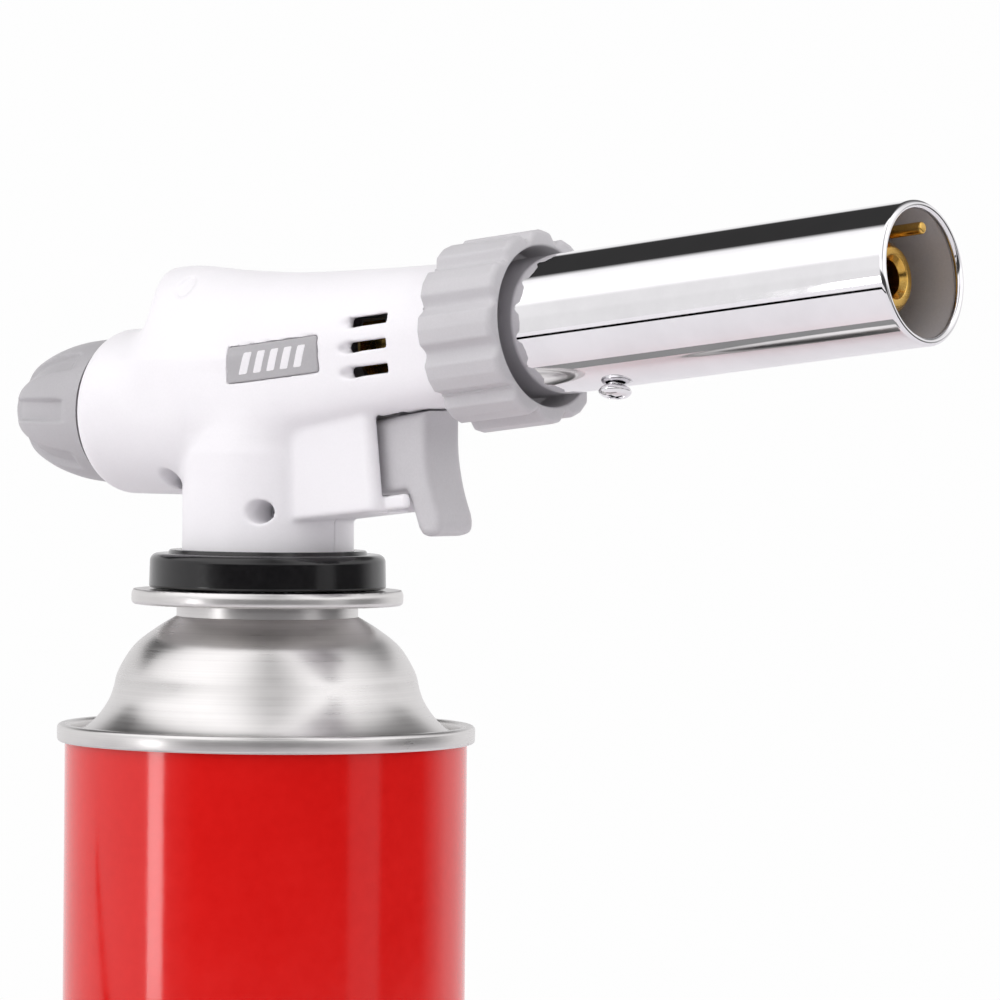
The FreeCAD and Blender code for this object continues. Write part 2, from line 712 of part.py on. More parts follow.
def housing_inside():
    """The space inside the shells, with the trigger's opening and its toe slot."""
    rear = on_rear_axis(cyl(REAR_R - SHELL_WALL, REAR_X - 1, 4.0))
    neck = on_flange(cyl(NECK_R - SHELL_WALL, NECK_FOOT_H - 1, KNOB_H - SHELL_WALL))
    floor = TRIGGER_FOOT_H - 0.45
    side = BLOCK_HALF_W - 1.9
    block = in_barrel_frame(box(0, BLOCK_FRONT_S + 0.5, -side, side, floor, -7.0))
    toe_slot = in_barrel_frame(box(22.5, LIP_S + 1, -4.95, 4.95, BLOCK_FLOOR_H - 1, floor + 1))
    return upper_body(SHELL_WALL, 1.0).fuse([rear, neck, block, toe_slot])


def housing_ribs():
    """Ribs that grip the jet holder, and the screw bosses."""
    ribs = []
    for low in (16.6, 20.1):
        ribs.append(on_barrel(cyl(13.0, low, low + 1.3).cut(cyl(7.9, low - 1, low + 2))))
    for x, height, recess, _, _ in HOUSING_SCREWS:
        boss = Part.makeCylinder(recess + 1.0, 28, Vector(x, -14, FLANGE_Z + height), Vector(0, 1, 0))
        ribs.append(boss)
    return ribs


def vents():
    """Three level slots through each side, beside the jet."""
    pitch, tall = 4.0, 1.6
    return [
        in_barrel_frame(box(25.3, 33.2, -FAR, FAR, k * pitch - tall / 2, k * pitch + tall / 2))
        for k in (-1, 0, 1)
    ]


def housing():
    """Both shells before they are parted."""
    outside, inside = housing_outside(), housing_inside()
    shell = outside.cut(inside)
    ribs = Part.makeCompound(housing_ribs())
    body_only = ribs.common(upper_body(0.3, 0).fuse([
        on_flange(cyl(NECK_R - 0.3, NECK_FOOT_H, KNOB_H)),
        on_rear_axis(cyl(REAR_R - 0.3, REAR_X, 4.0)),
    ]))
    shell = shell.fuse(body_only)
    shell = shell.cut(Part.makeCompound(vents()))
    for x, height, recess, seat, tip in HOUSING_SCREWS:
        at = Vector(x, seat, FLANGE_Z + height)
        shell = shell.cut(Part.makeCylinder(recess, 20, at, Vector(0, -1, 0)))
        shell = shell.cut(Part.makeCylinder(1.15, tip - seat + 0.4, at, Vector(0, 1, 0)))
    s0, s1, h0, h1 = NAMEPLATE
    return shell.cut(in_barrel_frame(box(s0 - 0.1, s1 + 0.1, -FAR, -NAMEPLATE_SEAT, h0 - 0.1, h1 + 0.1)))


def housing_half(side):
    """The shell on one side of the parting plane. side is +1 for +Y."""
    low, high = (0, FAR) if side > 0 else (-FAR, 0)
    half = SHELL.common(box(-FAR, FAR, low, high, FLANGE_Z - FAR, FLANGE_Z + FAR + 20))
    solids = sorted(half.Solids, key=lambda solid: solid.Volume)
    return solids[-1]


def housing_screws():
    """The three screws that close the shells."""
    screws = []
    for x, height, recess, seat, tip in HOUSING_SCREWS:
        at = Vector(x, seat, FLANGE_Z + height)
        head = Part.makeCylinder(recess - 0.15, 1.4, at, Vector(0, -1, 0))
        shank = Part.makeCylinder(1.1, tip - seat, at, Vector(0, 1, 0))
        screws.append(head.fuse(shank).removeSplitter())
    return Part.makeCompound(screws)


def nameplate():
    """The plain card let into the right shell."""
    s0, s1, h0, h1 = NAMEPLATE
    return in_barrel_frame(box(s0, s1, -NAMEPLATE_SEAT - 0.75, -NAMEPLATE_SEAT - 0.02, h0, h1))


SHELL = housing()

PIECES = {
    "can_body": can_body,
    "can_bottom": can_bottom,
    "can_dome": can_dome,
    "can_flange": can_flange,
    "can_valve_cup": can_valve_cup,
    "can_valve_housing": can_valve_housing,
    "can_valve_gasket": can_valve_gasket,
    "can_valve_stem": can_valve_stem,
    "can_valve_spring": can_valve_spring,
    "can_dip_tube": can_dip_tube,
    "base_ring": lambda: drilled_for_hub_screws(base_ring()),
    "lock_hub": lambda: drilled_for_hub_screws(lock_hub()),
    "hub_screws": hub_screws,
    "inlet_gasket": inlet_gasket,
    "inlet_filter": inlet_filter,
    "valve_body": valve_body,
    "gland_nut": gland_nut,
    "spindle_seal": spindle_seal,
    "regulator_spindle": regulator_spindle,
    "knob": knob,
    "knob_screw": knob_screw,
    "gas_tube": gas_tube,
    "jet_holder": jet_holder,
    "gas_jet": gas_jet,
    "mixer_tube": mixer_tube,
    "burner_nozzle": burner_nozzle,
    "burner_disc": burner_disc,
    "barrel_socket": barrel_socket,
    "barrel_tube": barrel_tube,
    "tube_screw": tube_screw,
    "electrode": electrode,
    "electrode_insulator": electrode_insulator,
    "ignition_lead": ignition_lead,
    "air_collar": air_collar,
    "air_sleeve": air_sleeve,
    "trigger": trigger,
    "piezo_body": piezo_body,
    "piezo_plunger": piezo_plunger,
    "piezo_spring": piezo_spring,
    "earth_contact": earth_contact,
    "housing_right": lambda: housing_half(-1),
    "housing_left": lambda: housing_half(1),
    "housing_screws": housing_screws,
    "nameplate": nameplate,
}

os.makedirs("parts", exist_ok=True)
for name, make in PIECES.items():
    piece = make()
    print(name, piece.isValid(), len(piece.Solids), round(piece.Volume, 1))
    piece.exportStep("parts/" + name + ".step")
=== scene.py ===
"""The looks of a butane torch on its gas cartridge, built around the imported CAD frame."""

import logging
import math
from collections.abc import Callable, Sequence
from dataclasses import dataclass
from enum import Enum

import bmesh
import bpy
import numpy as np
from mathutils import Matrix, Vector


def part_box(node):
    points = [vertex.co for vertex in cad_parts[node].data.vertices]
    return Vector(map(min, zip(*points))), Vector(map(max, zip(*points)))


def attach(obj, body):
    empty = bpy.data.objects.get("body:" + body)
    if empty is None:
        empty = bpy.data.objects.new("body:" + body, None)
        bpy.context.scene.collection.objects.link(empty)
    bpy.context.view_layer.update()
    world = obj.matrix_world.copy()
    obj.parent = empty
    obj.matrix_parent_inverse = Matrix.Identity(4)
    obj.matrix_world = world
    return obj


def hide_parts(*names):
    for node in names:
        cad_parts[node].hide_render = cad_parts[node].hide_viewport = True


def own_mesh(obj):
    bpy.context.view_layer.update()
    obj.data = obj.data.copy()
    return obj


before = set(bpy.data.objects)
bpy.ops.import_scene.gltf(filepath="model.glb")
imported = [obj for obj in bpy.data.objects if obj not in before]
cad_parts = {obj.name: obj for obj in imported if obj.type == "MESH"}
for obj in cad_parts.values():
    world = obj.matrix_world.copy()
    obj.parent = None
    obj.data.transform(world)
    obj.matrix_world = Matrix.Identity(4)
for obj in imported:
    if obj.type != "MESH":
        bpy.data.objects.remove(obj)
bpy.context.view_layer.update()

LOG = logging.getLogger("butane_torch")
Array = np.ndarray
Corner = tuple[float, float, float]
SolidField = Callable[[Array, Array, Array], Array]

# Sizes are in millimetres, and every mesh is scaled by MM when it becomes a piece.
# A place is given in the flange's frame (x forwards, y to the left, z up from the flange's
# underside), or by its station along the barrel's axis and its height over that axis.
MM = 0.001
FLANGE_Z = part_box("can_flange")[0].z / MM
CAN_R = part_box("can_body")[1].x / MM
SEAM_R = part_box("can_dome")[1].x / MM
FLANGE_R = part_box("can_flange")[1].x / MM
FOOT_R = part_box("base_ring")[1].x / MM
NECK_R = 14.1
SHELL_WALL = 1.8

# The barrel's axis rises forwards, and the knob's axis is level: heights from the flange.
BARREL_TILT = math.radians(6.45)
BARREL_H = 39.2
KNOB_H = 31.5

# Steps round the turned shapes whose outlines are seen largest
CAN_STEPS = 160


# Placing


def barrel_axis(station: float = 0.0, height: float = 0.0, across: float = 0.0) -> Matrix:
    """Gives the place of a shape turned about Z so that it lies along the barrel.

    Args:
        station: how far along the barrel's axis the shape's own origin goes.
        height: how far above the axis it goes.
        across: how far to the torch's left it goes.

    Returns:
        A matrix in millimetres; local X points up from the barrel and local Z along it.
    """
    up = Vector((-math.sin(BARREL_TILT), 0, math.cos(BARREL_TILT)))
    along = Vector((math.cos(BARREL_TILT), 0, math.sin(BARREL_TILT)))
    turn = Matrix((up, (0, -1, 0), along)).transposed().to_4x4()
    origin = Vector((0, 0, FLANGE_Z + BARREL_H)) + along * station + up * height + Vector((0, across, 0))
    return Matrix.Translation(origin) @ turn


def rear_axis() -> Matrix:
    """Gives the place of a shape turned about Z so that it points back along the knob's axis."""
    turn = Matrix(((0, 0, 1), (0, 1, 0), (-1, 0, 0))).transposed().to_4x4()
    return Matrix.Translation((0, 0, FLANGE_Z + KNOB_H)) @ turn


def on_flange() -> Matrix:
    """Gives the place of a shape whose heights are counted from the flange's underside."""
    return Matrix.Translation((0, 0, FLANGE_Z))


def to_barrel(x: Array, z: Array) -> tuple[Array, Array]:
    """Turns places in the flange's frame into places along the barrel.

    Args:
        x: places along the knob's axis.
        z: their heights over the flange's underside.

    Returns:
        Their stations along the barrel's axis and their heights over it.
    """
    rise = z - BARREL_H
    cos, sin = math.cos(BARREL_TILT), math.sin(BARREL_TILT)
    return x * cos + rise * sin, rise * cos - x * sin


# Meshes


@dataclass
class Shape:
    """Points in millimetres and the faces between them."""

    points: Array
    faces: list[tuple[int, ...]]

    def placed(self, matrix: Matrix) -> "Shape":
        """Moves the shape.

        Args:
            matrix: where to, in millimetres.

        Returns:
            The moved shape.
        """
        turn = np.array(matrix.to_3x3())
        shift = np.array(matrix.translation)
        return Shape(self.points @ turn.T + shift, self.faces)

    def joined(self, other: "Shape") -> "Shape":
        """Puts two shapes together as separate islands.

        Args:
            other: the other shape.

        Returns:
            One shape that holds both.
        """
        start = len(self.points)
        moved = [tuple(i + start for i in face) for face in other.faces]
        return Shape(np.vstack([self.points, other.points]), self.faces + moved)


def rounded(corners: Sequence[Corner], steps: int = 5) -> list[tuple[float, float]]:
    """Rounds the corners of a closed outline.

    Args:
        corners: (radius, height, fillet radius) for each corner, in order.
        steps: the straight pieces in each fillet.

    Returns:
        The outline's (radius, height) points.
    """
    outline = []
    for k, (radius, height, fillet) in enumerate(corners):
        here = np.array((radius, height))
        if not fillet:
            outline.append((radius, height))
            continue
        back = np.array(corners[k - 1][:2]) - here
        ahead = np.array(corners[(k + 1) % len(corners)][:2]) - here
        back_length, ahead_length = np.linalg.norm(back), np.linalg.norm(ahead)
        back, ahead = back / back_length, ahead / ahead_length
        half = math.acos(float(np.clip(back @ ahead, -1, 1))) / 2
        reach = min(fillet / math.tan(half), 0.49 * back_length, 0.49 * ahead_length)
        middle = here + (back + ahead) / np.linalg.norm(back + ahead) * reach / math.cos(half)
        turn = math.pi - 2 * half
        for step in range(steps + 1):
            share = step / steps
            start = math.sin((1 - share) * turn) * (here + back * reach - middle)
            end = math.sin(share * turn) * (here + ahead * reach - middle)
            outline.append(tuple(middle + (start + end) / math.sin(turn)))
    return outline


def smooth_line(points: Sequence[tuple[float, float]], steps: int = 5) -> list[tuple[float, float]]:
    """Runs a smooth curve through points.

    Args:
        points: the points, first to last.
        steps: the straight pieces between each two of them.

    Returns:
        The points on the curve.
    """
    guide = [points[0], *points, points[-1]]
    line = []
    for before, start, end, after in zip(guide, guide[1:], guide[2:], guide[3:]):
        a, b, c, d = (np.array(p, float) for p in (before, start, end, after))
        for step in range(steps):
            t = step / steps
            bend = 2 * b + (c - a) * t + (2 * a - 5 * b + 4 * c - d) * t**2
            line.append(tuple((bend + (3 * b - a - 3 * c + d) * t**3) / 2))
    return [*line, tuple(points[-1])]


def held_flat(outline: Sequence[tuple[float, float]], closed: bool) -> list[tuple[float, float]]:
    """Adds a point near both ends of every long straight run, which keeps its shading flat.

    Args:
        outline: (radius, height) points.
        closed: whether the last point joins the first.

    Returns:
        The outline with the added points.
    """
    longest, margin = 1.5, 0.12
    held = []
    for start, end in zip(outline, [*outline[1:], outline[0]]):
        held.append(start)
        length = math.dist(start, end)
        if length < longest or (not closed and end is outline[0]):
            continue
        for share in (margin / length, 1 - margin / length):
            held.append(tuple(a + (b - a) * share for a, b in zip(start, end)))
    return held


def lathe(outline: Sequence[tuple[float, float]], segments: int = 128, closed: bool = True) -> Shape:
    """Turns an outline about the Z axis.

    Args:
        outline: (radius, height) points; a radius of 0 becomes a single point.
        segments: the number of steps round the axis.
        closed: whether the last point joins the first.

    Returns:
        The turned shape.
    """
    points: list[tuple[float, float, float]] = []
    rows: list[list[int]] = []
    for radius, height in held_flat(outline, closed):
        first = len(points)
        if radius < 1e-6:
            points.append((0, 0, height))
            rows.append([first] * segments)
            continue
        for k in range(segments):
            angle = 2 * math.pi * k / segments
            points.append((radius * math.cos(angle), radius * math.sin(angle), height))
        rows.append(list(range(first, first + segments)))
    faces = []
    for low, high in zip(rows, rows[1:] + rows[:1] if closed else rows[1:]):
        for k in range(segments):
            n = (k + 1) % segments
            face = tuple(dict.fromkeys((low[k], low[n], high[n], high[k])))
            if len(face) > 2:
                faces.append(face)
    return Shape(np.array(points, float), faces)


def coil(radius: float, wire: float, low: float, high: float, turns: int) -> Shape:
    """Winds a round wire into a spring on the Z axis, with a closed turn at each end.

    Args:
        radius: the radius of the wire's centre line.
        wire: the wire's diameter.
        low: the height of the spring's lower end.
        high: the height of its upper end.
        turns: how many turns the wire makes.

    Returns:
        The spring.
    """
    steps, around = 28 * turns, 10
    share = np.linspace(0, 1, steps + 1)
    dead = 1 / turns
    lift = np.clip((share - dead) / (1 - 2 * dead), 0, 1)
    flat = np.clip(share / dead, 0, 1) + np.clip((share - 1 + dead) / dead, 0, 1)
    height = low + wire / 2 + flat * wire + lift * (high - low - 3 * wire)
    angle = 2 * math.pi * turns * share
    out = np.stack([np.cos(angle), np.sin(angle), np.zeros_like(angle)], 1)
    centre = out * radius + np.outer(height, (0, 0, 1))
    rings = [
        centre + wire / 2 * (math.cos(a) * out + math.sin(a) * np.array((0, 0, 1)))
        for a in np.arange(around) * 2 * math.pi / around
    ]
    points = np.stack(rings, 1).reshape(-1, 3)
    faces = []
    for here in range(0, steps * around, around):
        for a in range(around):
            b, ahead = (a + 1) % around, here + around
            faces.append((here + a, here + b, ahead + b, ahead + a))
    caps = [tuple(range(around)), tuple(range(steps * around, (steps + 1) * around))]
    return Shape(points, faces + caps)


# Solids as distance fields: below zero inside, above zero outside


def blend_min(a: Array, b: Array, reach: float) -> Array:
    """Joins two solids with a soft corner about as wide as reach."""
    near = np.maximum(reach - np.abs(a - b), 0) / reach
    return np.minimum(a, b) - near * near * reach / 4


def blend_max(a: Array, b: Array, reach: float) -> Array:
    """Keeps what two solids share, with a softened edge."""
    return -blend_min(-a, -b, reach)


def cut(a: Array, b: Array, reach: float) -> Array:
    """Takes solid b out of solid a, with a softened edge."""
    return blend_max(a, -b, reach)


def slab(x: Array, low: float, high: float) -> Array:
    """The distance outside the span from low to high."""
    return np.abs(x - (low + high) / 2) - (high - low) / 2


def rounded_plan(x: Array, y: Array, half_x: float, half_y: float, corner: float) -> Array:
    """Measures how far places lie outside a rectangle with rounded corners.

    Args:
        x: places, counted from the rectangle's middle.
        y: the same, the other way.
        half_x: half its length.
        half_y: half its width.
        corner: the radius of its corners.

    Returns:
        The distance outside it, below zero within it.
    """
    dx, dy = np.abs(x) - half_x + corner, np.abs(y) - half_y + corner
    outside = np.hypot(np.maximum(dx, 0), np.maximum(dy, 0))
    return outside + np.minimum(np.maximum(dx, dy), 0) - corner


def polygon_distance(x: Array, y: Array, outline: Sequence[tuple[float, float]]) -> Array:
    """Measures how far places lie outside a closed outline in a plane.

    Args:
        x: places in the plane.
        y: the same, the other way.
        outline: the outline's corners.

    Returns:
        The distance outside it, below zero within it.
    """
    nearest = np.full(x.shape, np.inf)
    within = np.zeros(x.shape, bool)
    for (x0, y0), (x1, y1) in zip(outline, [*outline[1:], outline[0]]):
        ex, ey = x1 - x0, y1 - y0
        along = np.clip(((x - x0) * ex + (y - y0) * ey) / (ex * ex + ey * ey), 0, 1)
        nearest = np.minimum(nearest, np.hypot(x - x0 - along * ex, y - y0 - along * ey))
        if y0 != y1:
            crossing = (y0 > y) != (y1 > y)
            within ^= crossing & (x < x0 + (y - y0) * ex / ey)
    return np.where(within, -nearest, nearest)


def slope(solid: SolidField, points: Array) -> Array:
    """Finds the way in which a distance field rises.

    Args:
        solid: the field.
        points: where to look.

    Returns:
        The field's gradient at each point.
    """
    step = 0.01
    columns = []
    for axis in range(3):
        ahead, behind = points.copy(), points.copy()
        ahead[:, axis] += step
        behind[:, axis] -= step
        columns.append((solid(*ahead.T) - solid(*behind.T)) / (2 * step))
    return np.stack(columns, 1)


def skin(solid: SolidField, low: Sequence[float], high: Sequence[float], pitch: float) -> Shape:
    """Lays a net of four-sided faces over a distance field and pulls it on to the surface.

    Args:
        solid: the field, as a function of x, y and z.
        low: the lowest corner of the box that is searched.
        high: its highest corner.
        pitch: the size of one mesh face.

    Returns:
        A closed shape.
    """
    axes = [np.arange(a, b + pitch, pitch) for a, b in zip(low, high)]
    values = solid(*np.meshgrid(*axes, indexing="ij"))
    inside = values < 0
    size = np.array(inside.shape) - 1
    corners = [np.array((i, j, k)) for i in (0, 1) for j in (0, 1) for k in (0, 1)]
    filled = np.zeros(size, np.int8)
    for c in corners:
        filled += inside[c[0]:size[0] + c[0], c[1]:size[1] + c[1], c[2]:size[2] + c[2]]
    mixed = (filled > 0) & (filled < 8)
    cells = np.argwhere(mixed)
    number = np.full(mixed.shape, -1)
    number[mixed] = np.arange(len(cells))
    total, hits = np.zeros((len(cells), 3)), np.zeros(len(cells))
    for a in corners:
        for b in corners:
            if (b - a).sum() != 1 or (b - a).min() < 0:
                continue
            va, vb = values[tuple((cells + a).T)], values[tuple((cells + b).T)]
            crosses = (va < 0) != (vb < 0)
            share = np.where(crosses, va / np.where(crosses, va - vb, 1), 0)
            total += crosses[:, None] * (a + share[:, None] * (b - a))
            hits += crosses
    points = np.array(low) + pitch * (cells + total / hits[:, None])
    quads = []
    for axis in range(3):
        u, v = np.roll(np.eye(3, dtype=int), axis, axis=1)[1:]
        ahead = np.roll(inside, -1, axis)
        edges = np.argwhere(inside != ahead)
        edges = edges[(edges[:, axis] < size[axis]) & (edges @ u > 0) & (edges @ v > 0)]
        edges = edges[(edges @ u < size @ u) & (edges @ v < size @ v)]
        around = [number[tuple((edges - c).T)] for c in (u + v, v, 0 * u, u)]
        quad = np.stack(around, 1)
        leaving = inside[tuple(edges.T)]
        quads.append(np.where(leaving[:, None], quad, quad[:, ::-1]))
    for _ in range(4):
        away = slope(solid, points)
        steep = np.maximum((away * away).sum(1), 0.05)
        move = (solid(*points.T) / steep)[:, None] * away
        points -= np.clip(move, -pitch / 2, pitch / 2)
    return Shape(points, [tuple(q) for q in np.vstack(quads).tolist()])


# Finishes


def linear(hex_colour: str, alpha: float = 1.0) -> tuple[float, float, float, float]:
    """Turns an sRGB colour into a linear one.

    Args:
        hex_colour: the colour, such as #c8c6c8.
        alpha: its opacity.

    Returns:
        Linear red, green, blue and opacity.
    """
    parts = [int(hex_colour[i:i + 2], 16) / 255 for i in (1, 3, 5)]
    light = [c / 12.92 if c <= 0.04045 else ((c + 0.055) / 1.055) ** 2.4 for c in parts]
    return (*light, alpha)


def add_node(tree: bpy.types.NodeTree, kind: str, settings: dict | None = None,
             **links: bpy.types.NodeSocket) -> bpy.types.Node:
    """Adds a node with its settings and links.

    Args:
        tree: the node tree.
        kind: the node's type, such as ShaderNodeMath.
        settings: values for the node's own properties, and for its sockets by name or number.
        links: for each socket, by name with _ for a space or by number after i, what feeds it.

    Returns:
        The new node.
    """
    node = tree.nodes.new(kind)
    for key, value in (settings or {}).items():
        if isinstance(key, int) or key in node.inputs:
            node.inputs[key].default_value = value
        else:
            setattr(node, key, value)
    for key, source in links.items():
        socket = int(key[1:]) if key[0] == "i" and key[1:].isdigit() else key.replace("_", " ")
        tree.links.new(source, node.inputs[socket])
    return node


class Grain(Enum):
    """The way a surface was made, which sets the direction of its finest marks."""

    MOULDED = "moulded"
    TURNED = "turned"
    DRAWN = "drawn"
    PLATED = "plated"


@dataclass(frozen=True)
class Finish:
    """One finish: what it is made of, how it was made, and what the eye sees of that.

    The colour drifts between colour and shade, and the roughness by spread to either side.
    Real spark grain, tool rings and rolling marks are finer than grain_mm gives them: they are
    drawn as coarse as they need to be to show.
    """

    name: str
    colour: str
    shade: str
    grain: Grain
    roughness: float
    spread: float = 0.04
    metallic: float = 0.0
    ior: float = 1.5
    grain_mm: float = 0.6
    relief_mm: float = 0.01
    cloud_mm: float = 14.0

    def marks(self, tree: bpy.types.NodeTree, place: bpy.types.NodeSocket) -> bpy.types.NodeSocket:
        """Adds the surface's finest marks.

        Args:
            tree: the material's node tree.
            place: the place on the piece.

        Returns:
            The marks' height, from 0 to 1.
        """
        scale = 1 / (self.grain_mm * MM)
        if self.grain is Grain.TURNED or self.grain is Grain.DRAWN:
            parts = add_node(tree, "ShaderNodeSeparateXYZ", Vector=place)
            flat = add_node(tree, "ShaderNodeCombineXYZ", X=parts.outputs["X"], Y=parts.outputs["Y"])
            radius = add_node(tree, "ShaderNodeVectorMath", {"operation": "LENGTH"}, i0=flat.outputs[0])
            place = add_node(
                tree, "ShaderNodeCombineXYZ", X=radius.outputs["Value"], Z=parts.outputs["Z"]
            ).outputs[0]
        detail = {"Scale": scale, "Detail": 4.0, "Roughness": 0.6}
        return add_node(tree, "ShaderNodeTexNoise", detail, Vector=place).outputs["Fac"]

    def material(self) -> bpy.types.Material:
        """Returns the finish as a material, made once."""
        title = f"{self.name}_finish"
        known = bpy.data.materials.get(title)
        if known:
            return known
        material = bpy.data.materials.new(title)
        material.use_nodes = True
        tree = material.node_tree
        tree.nodes.clear()
        place = add_node(tree, "ShaderNodeTexCoord").outputs["Object"]
        cloud = add_node(
            tree, "ShaderNodeTexNoise", {"Scale": 1 / (self.cloud_mm * MM), "Detail": 3.0}, Vector=place
        ).outputs["Fac"]
        marks = self.marks(tree, place)
        both = add_node(tree, "ShaderNodeMath", {"operation": "ADD"}, i0=cloud, i1=marks).outputs[0]
        mean = add_node(tree, "ShaderNodeMath", {"operation": "MULTIPLY", 1: 0.5}, i0=both).outputs[0]
        tint = add_node(tree, "ShaderNodeValToRGB", Fac=mean)
        stops = zip(tint.color_ramp.elements, (0.36, 0.62), (self.shade, self.colour))
        for stop, position, hex_colour in stops:
            stop.position = position
            stop.color = linear(hex_colour)
        rough = add_node(
            tree, "ShaderNodeMapRange",
            {"From Min": 0.7, "From Max": 1.3, "To Min": self.roughness - self.spread,
             "To Max": self.roughness + self.spread}, Value=both,
        )
        bump = add_node(
            tree, "ShaderNodeBump", {"Strength": 1.0, "Distance": self.relief_mm * MM}, Height=marks
        )
        shader = add_node(
            tree, "ShaderNodeBsdfPrincipled", {"Metallic": self.metallic, "IOR": self.ior},
            Base_Color=tint.outputs["Color"], Roughness=rough.outputs["Result"],
            Normal=bump.outputs["Normal"],
        )
        add_node(tree, "ShaderNodeOutputMaterial", Surface=shader.outputs["BSDF"])
        return material


# Printed enamel over tinplate: a hard wet gloss with the faint ripple of a roller coat.
RED_ENAMEL = Finish("red_enamel", "#db1815", "#d51411", Grain.MOULDED, 0.1, 0.02, ior=1.5,
                    grain_mm=2.2, relief_mm=0.006)
# Drawn tinplate: a bright satin metal with fine rings from the press and the seaming rollers.
TINPLATE = Finish("tinplate", "#dedcdb", "#cfcdcc", Grain.DRAWN, 0.3, 0.05, metallic=1.0,
                  grain_mm=0.5, relief_mm=0.004)
# Moulded ABS in white: bright and slightly soft, its gloss broken by a fine spark grain.
WHITE_ABS = Finish("white_abs", "#f6f4f7", "#f2f0f3", Grain.MOULDED, 0.42, 0.04, ior=1.53,
                   grain_mm=0.35, relief_mm=0.008)
# Moulded ABS in light grey for the collar.
COLLAR_ABS = Finish("light_grey_abs", "#cbc9cc", "#c5c3c6", Grain.MOULDED, 0.45, 0.05, ior=1.53,
                    grain_mm=0.35, relief_mm=0.01)
# Moulded ABS in mid grey for the knob.
KNOB_ABS = Finish("mid_grey_abs", "#b9b7ba", "#b1afb2", Grain.MOULDED, 0.45, 0.05, ior=1.53,
                  grain_mm=0.35, relief_mm=0.01)
# Moulded ABS in grey for the trigger.
TRIGGER_ABS = Finish("trigger_grey_abs", "#cac8cb", "#c3c1c4", Grain.MOULDED, 0.42, 0.05, ior=1.53,
                     grain_mm=0.35, relief_mm=0.01)
# Polished nylon in black: near-mirror highlights on a deep black.
BLACK_NYLON = Finish("black_nylon", "#141315", "#0d0c0e", Grain.MOULDED, 0.16, 0.04, ior=1.53,
                     grain_mm=0.8, relief_mm=0.004)
# Chromium plate on polished steel: a mirror, with hardly any haze.
CHROME = Finish("chromium_plate", "#eeedef", "#e6e5e7", Grain.PLATED, 0.035, 0.012, metallic=1.0,
                grain_mm=6.0, relief_mm=0.0006)
# Free-cutting brass, turned: warm yellow with the tool's fine rings.
BRASS = Finish("turned_brass", "#e3bd6c", "#cfa04b", Grain.TURNED, 0.24, 0.06, metallic=1.0,
               grain_mm=0.3, relief_mm=0.004)
# Glazed alumina: hard white with a faint cream tint.
ALUMINA = Finish("alumina", "#f1ece2", "#e6e0d4", Grain.MOULDED, 0.3, ior=1.7, grain_mm=0.5)
# Zinc-plated steel: a grey satin metal.
ZINCED_STEEL = Finish("zinced_steel", "#c4c5c8", "#aeb0b4", Grain.TURNED, 0.32, 0.07, metallic=1.0,
                      grain_mm=0.4, relief_mm=0.004)
# Music wire: a darker polished steel.
MUSIC_WIRE = Finish("music_wire", "#a9a8a6", "#8f8e8c", Grain.PLATED, 0.25, 0.06, metallic=1.0, grain_mm=0.4)
# Die-cast zinc: a dull grey skin with soft mottling.
DIE_CAST_ZINC = Finish("die_cast_zinc", "#a7a8aa", "#8e8f92", Grain.MOULDED, 0.5, 0.08, metallic=1.0,
                       grain_mm=0.8, relief_mm=0.02)
# Acetal: a waxy off-white plastic.
ACETAL = Finish("acetal", "#ece9e2", "#e2dfd7", Grain.MOULDED, 0.4, ior=1.48, grain_mm=0.6)
# Nitrile rubber: matt black.
NITRILE = Finish("nitrile_rubber", "#1c1c1d", "#141415", Grain.MOULDED, 0.75, 0.08, ior=1.52,
                 grain_mm=0.4, relief_mm=0.02)
# Silicone sleeve of the high-voltage lead: soft red.
SILICONE = Finish("silicone_sleeve", "#b8362c", "#a82f26", Grain.MOULDED, 0.55, ior=1.43, grain_mm=0.4)
# Glass-filled nylon of the lighter's case: black and dry.
LIGHTER_CASE = Finish("glass_filled_nylon", "#232427", "#1a1b1d", Grain.MOULDED, 0.55, 0.08, ior=1.53,
                      grain_mm=0.5, relief_mm=0.02)
# Printed polyester film: flat mid grey.
LABEL_FILM = Finish("label_film", "#b0aeb1", "#aba9ac", Grain.MOULDED, 0.38, 0.03, ior=1.57,
                    grain_mm=0.5, relief_mm=0.002)
# Screen ink on the label: opaque white.
LABEL_INK = Finish("label_ink", "#f1eff2", "#ebe9ec", Grain.MOULDED, 0.4, 0.03, ior=1.5, grain_mm=0.4)
# The barrel's bore: pickled steel, pale and dull.
BORE_STEEL = Finish("bore_steel", "#d3d1d4", "#c9c7ca", Grain.TURNED, 0.45, 0.05, metallic=0.3,
                    grain_mm=0.5, relief_mm=0.004)


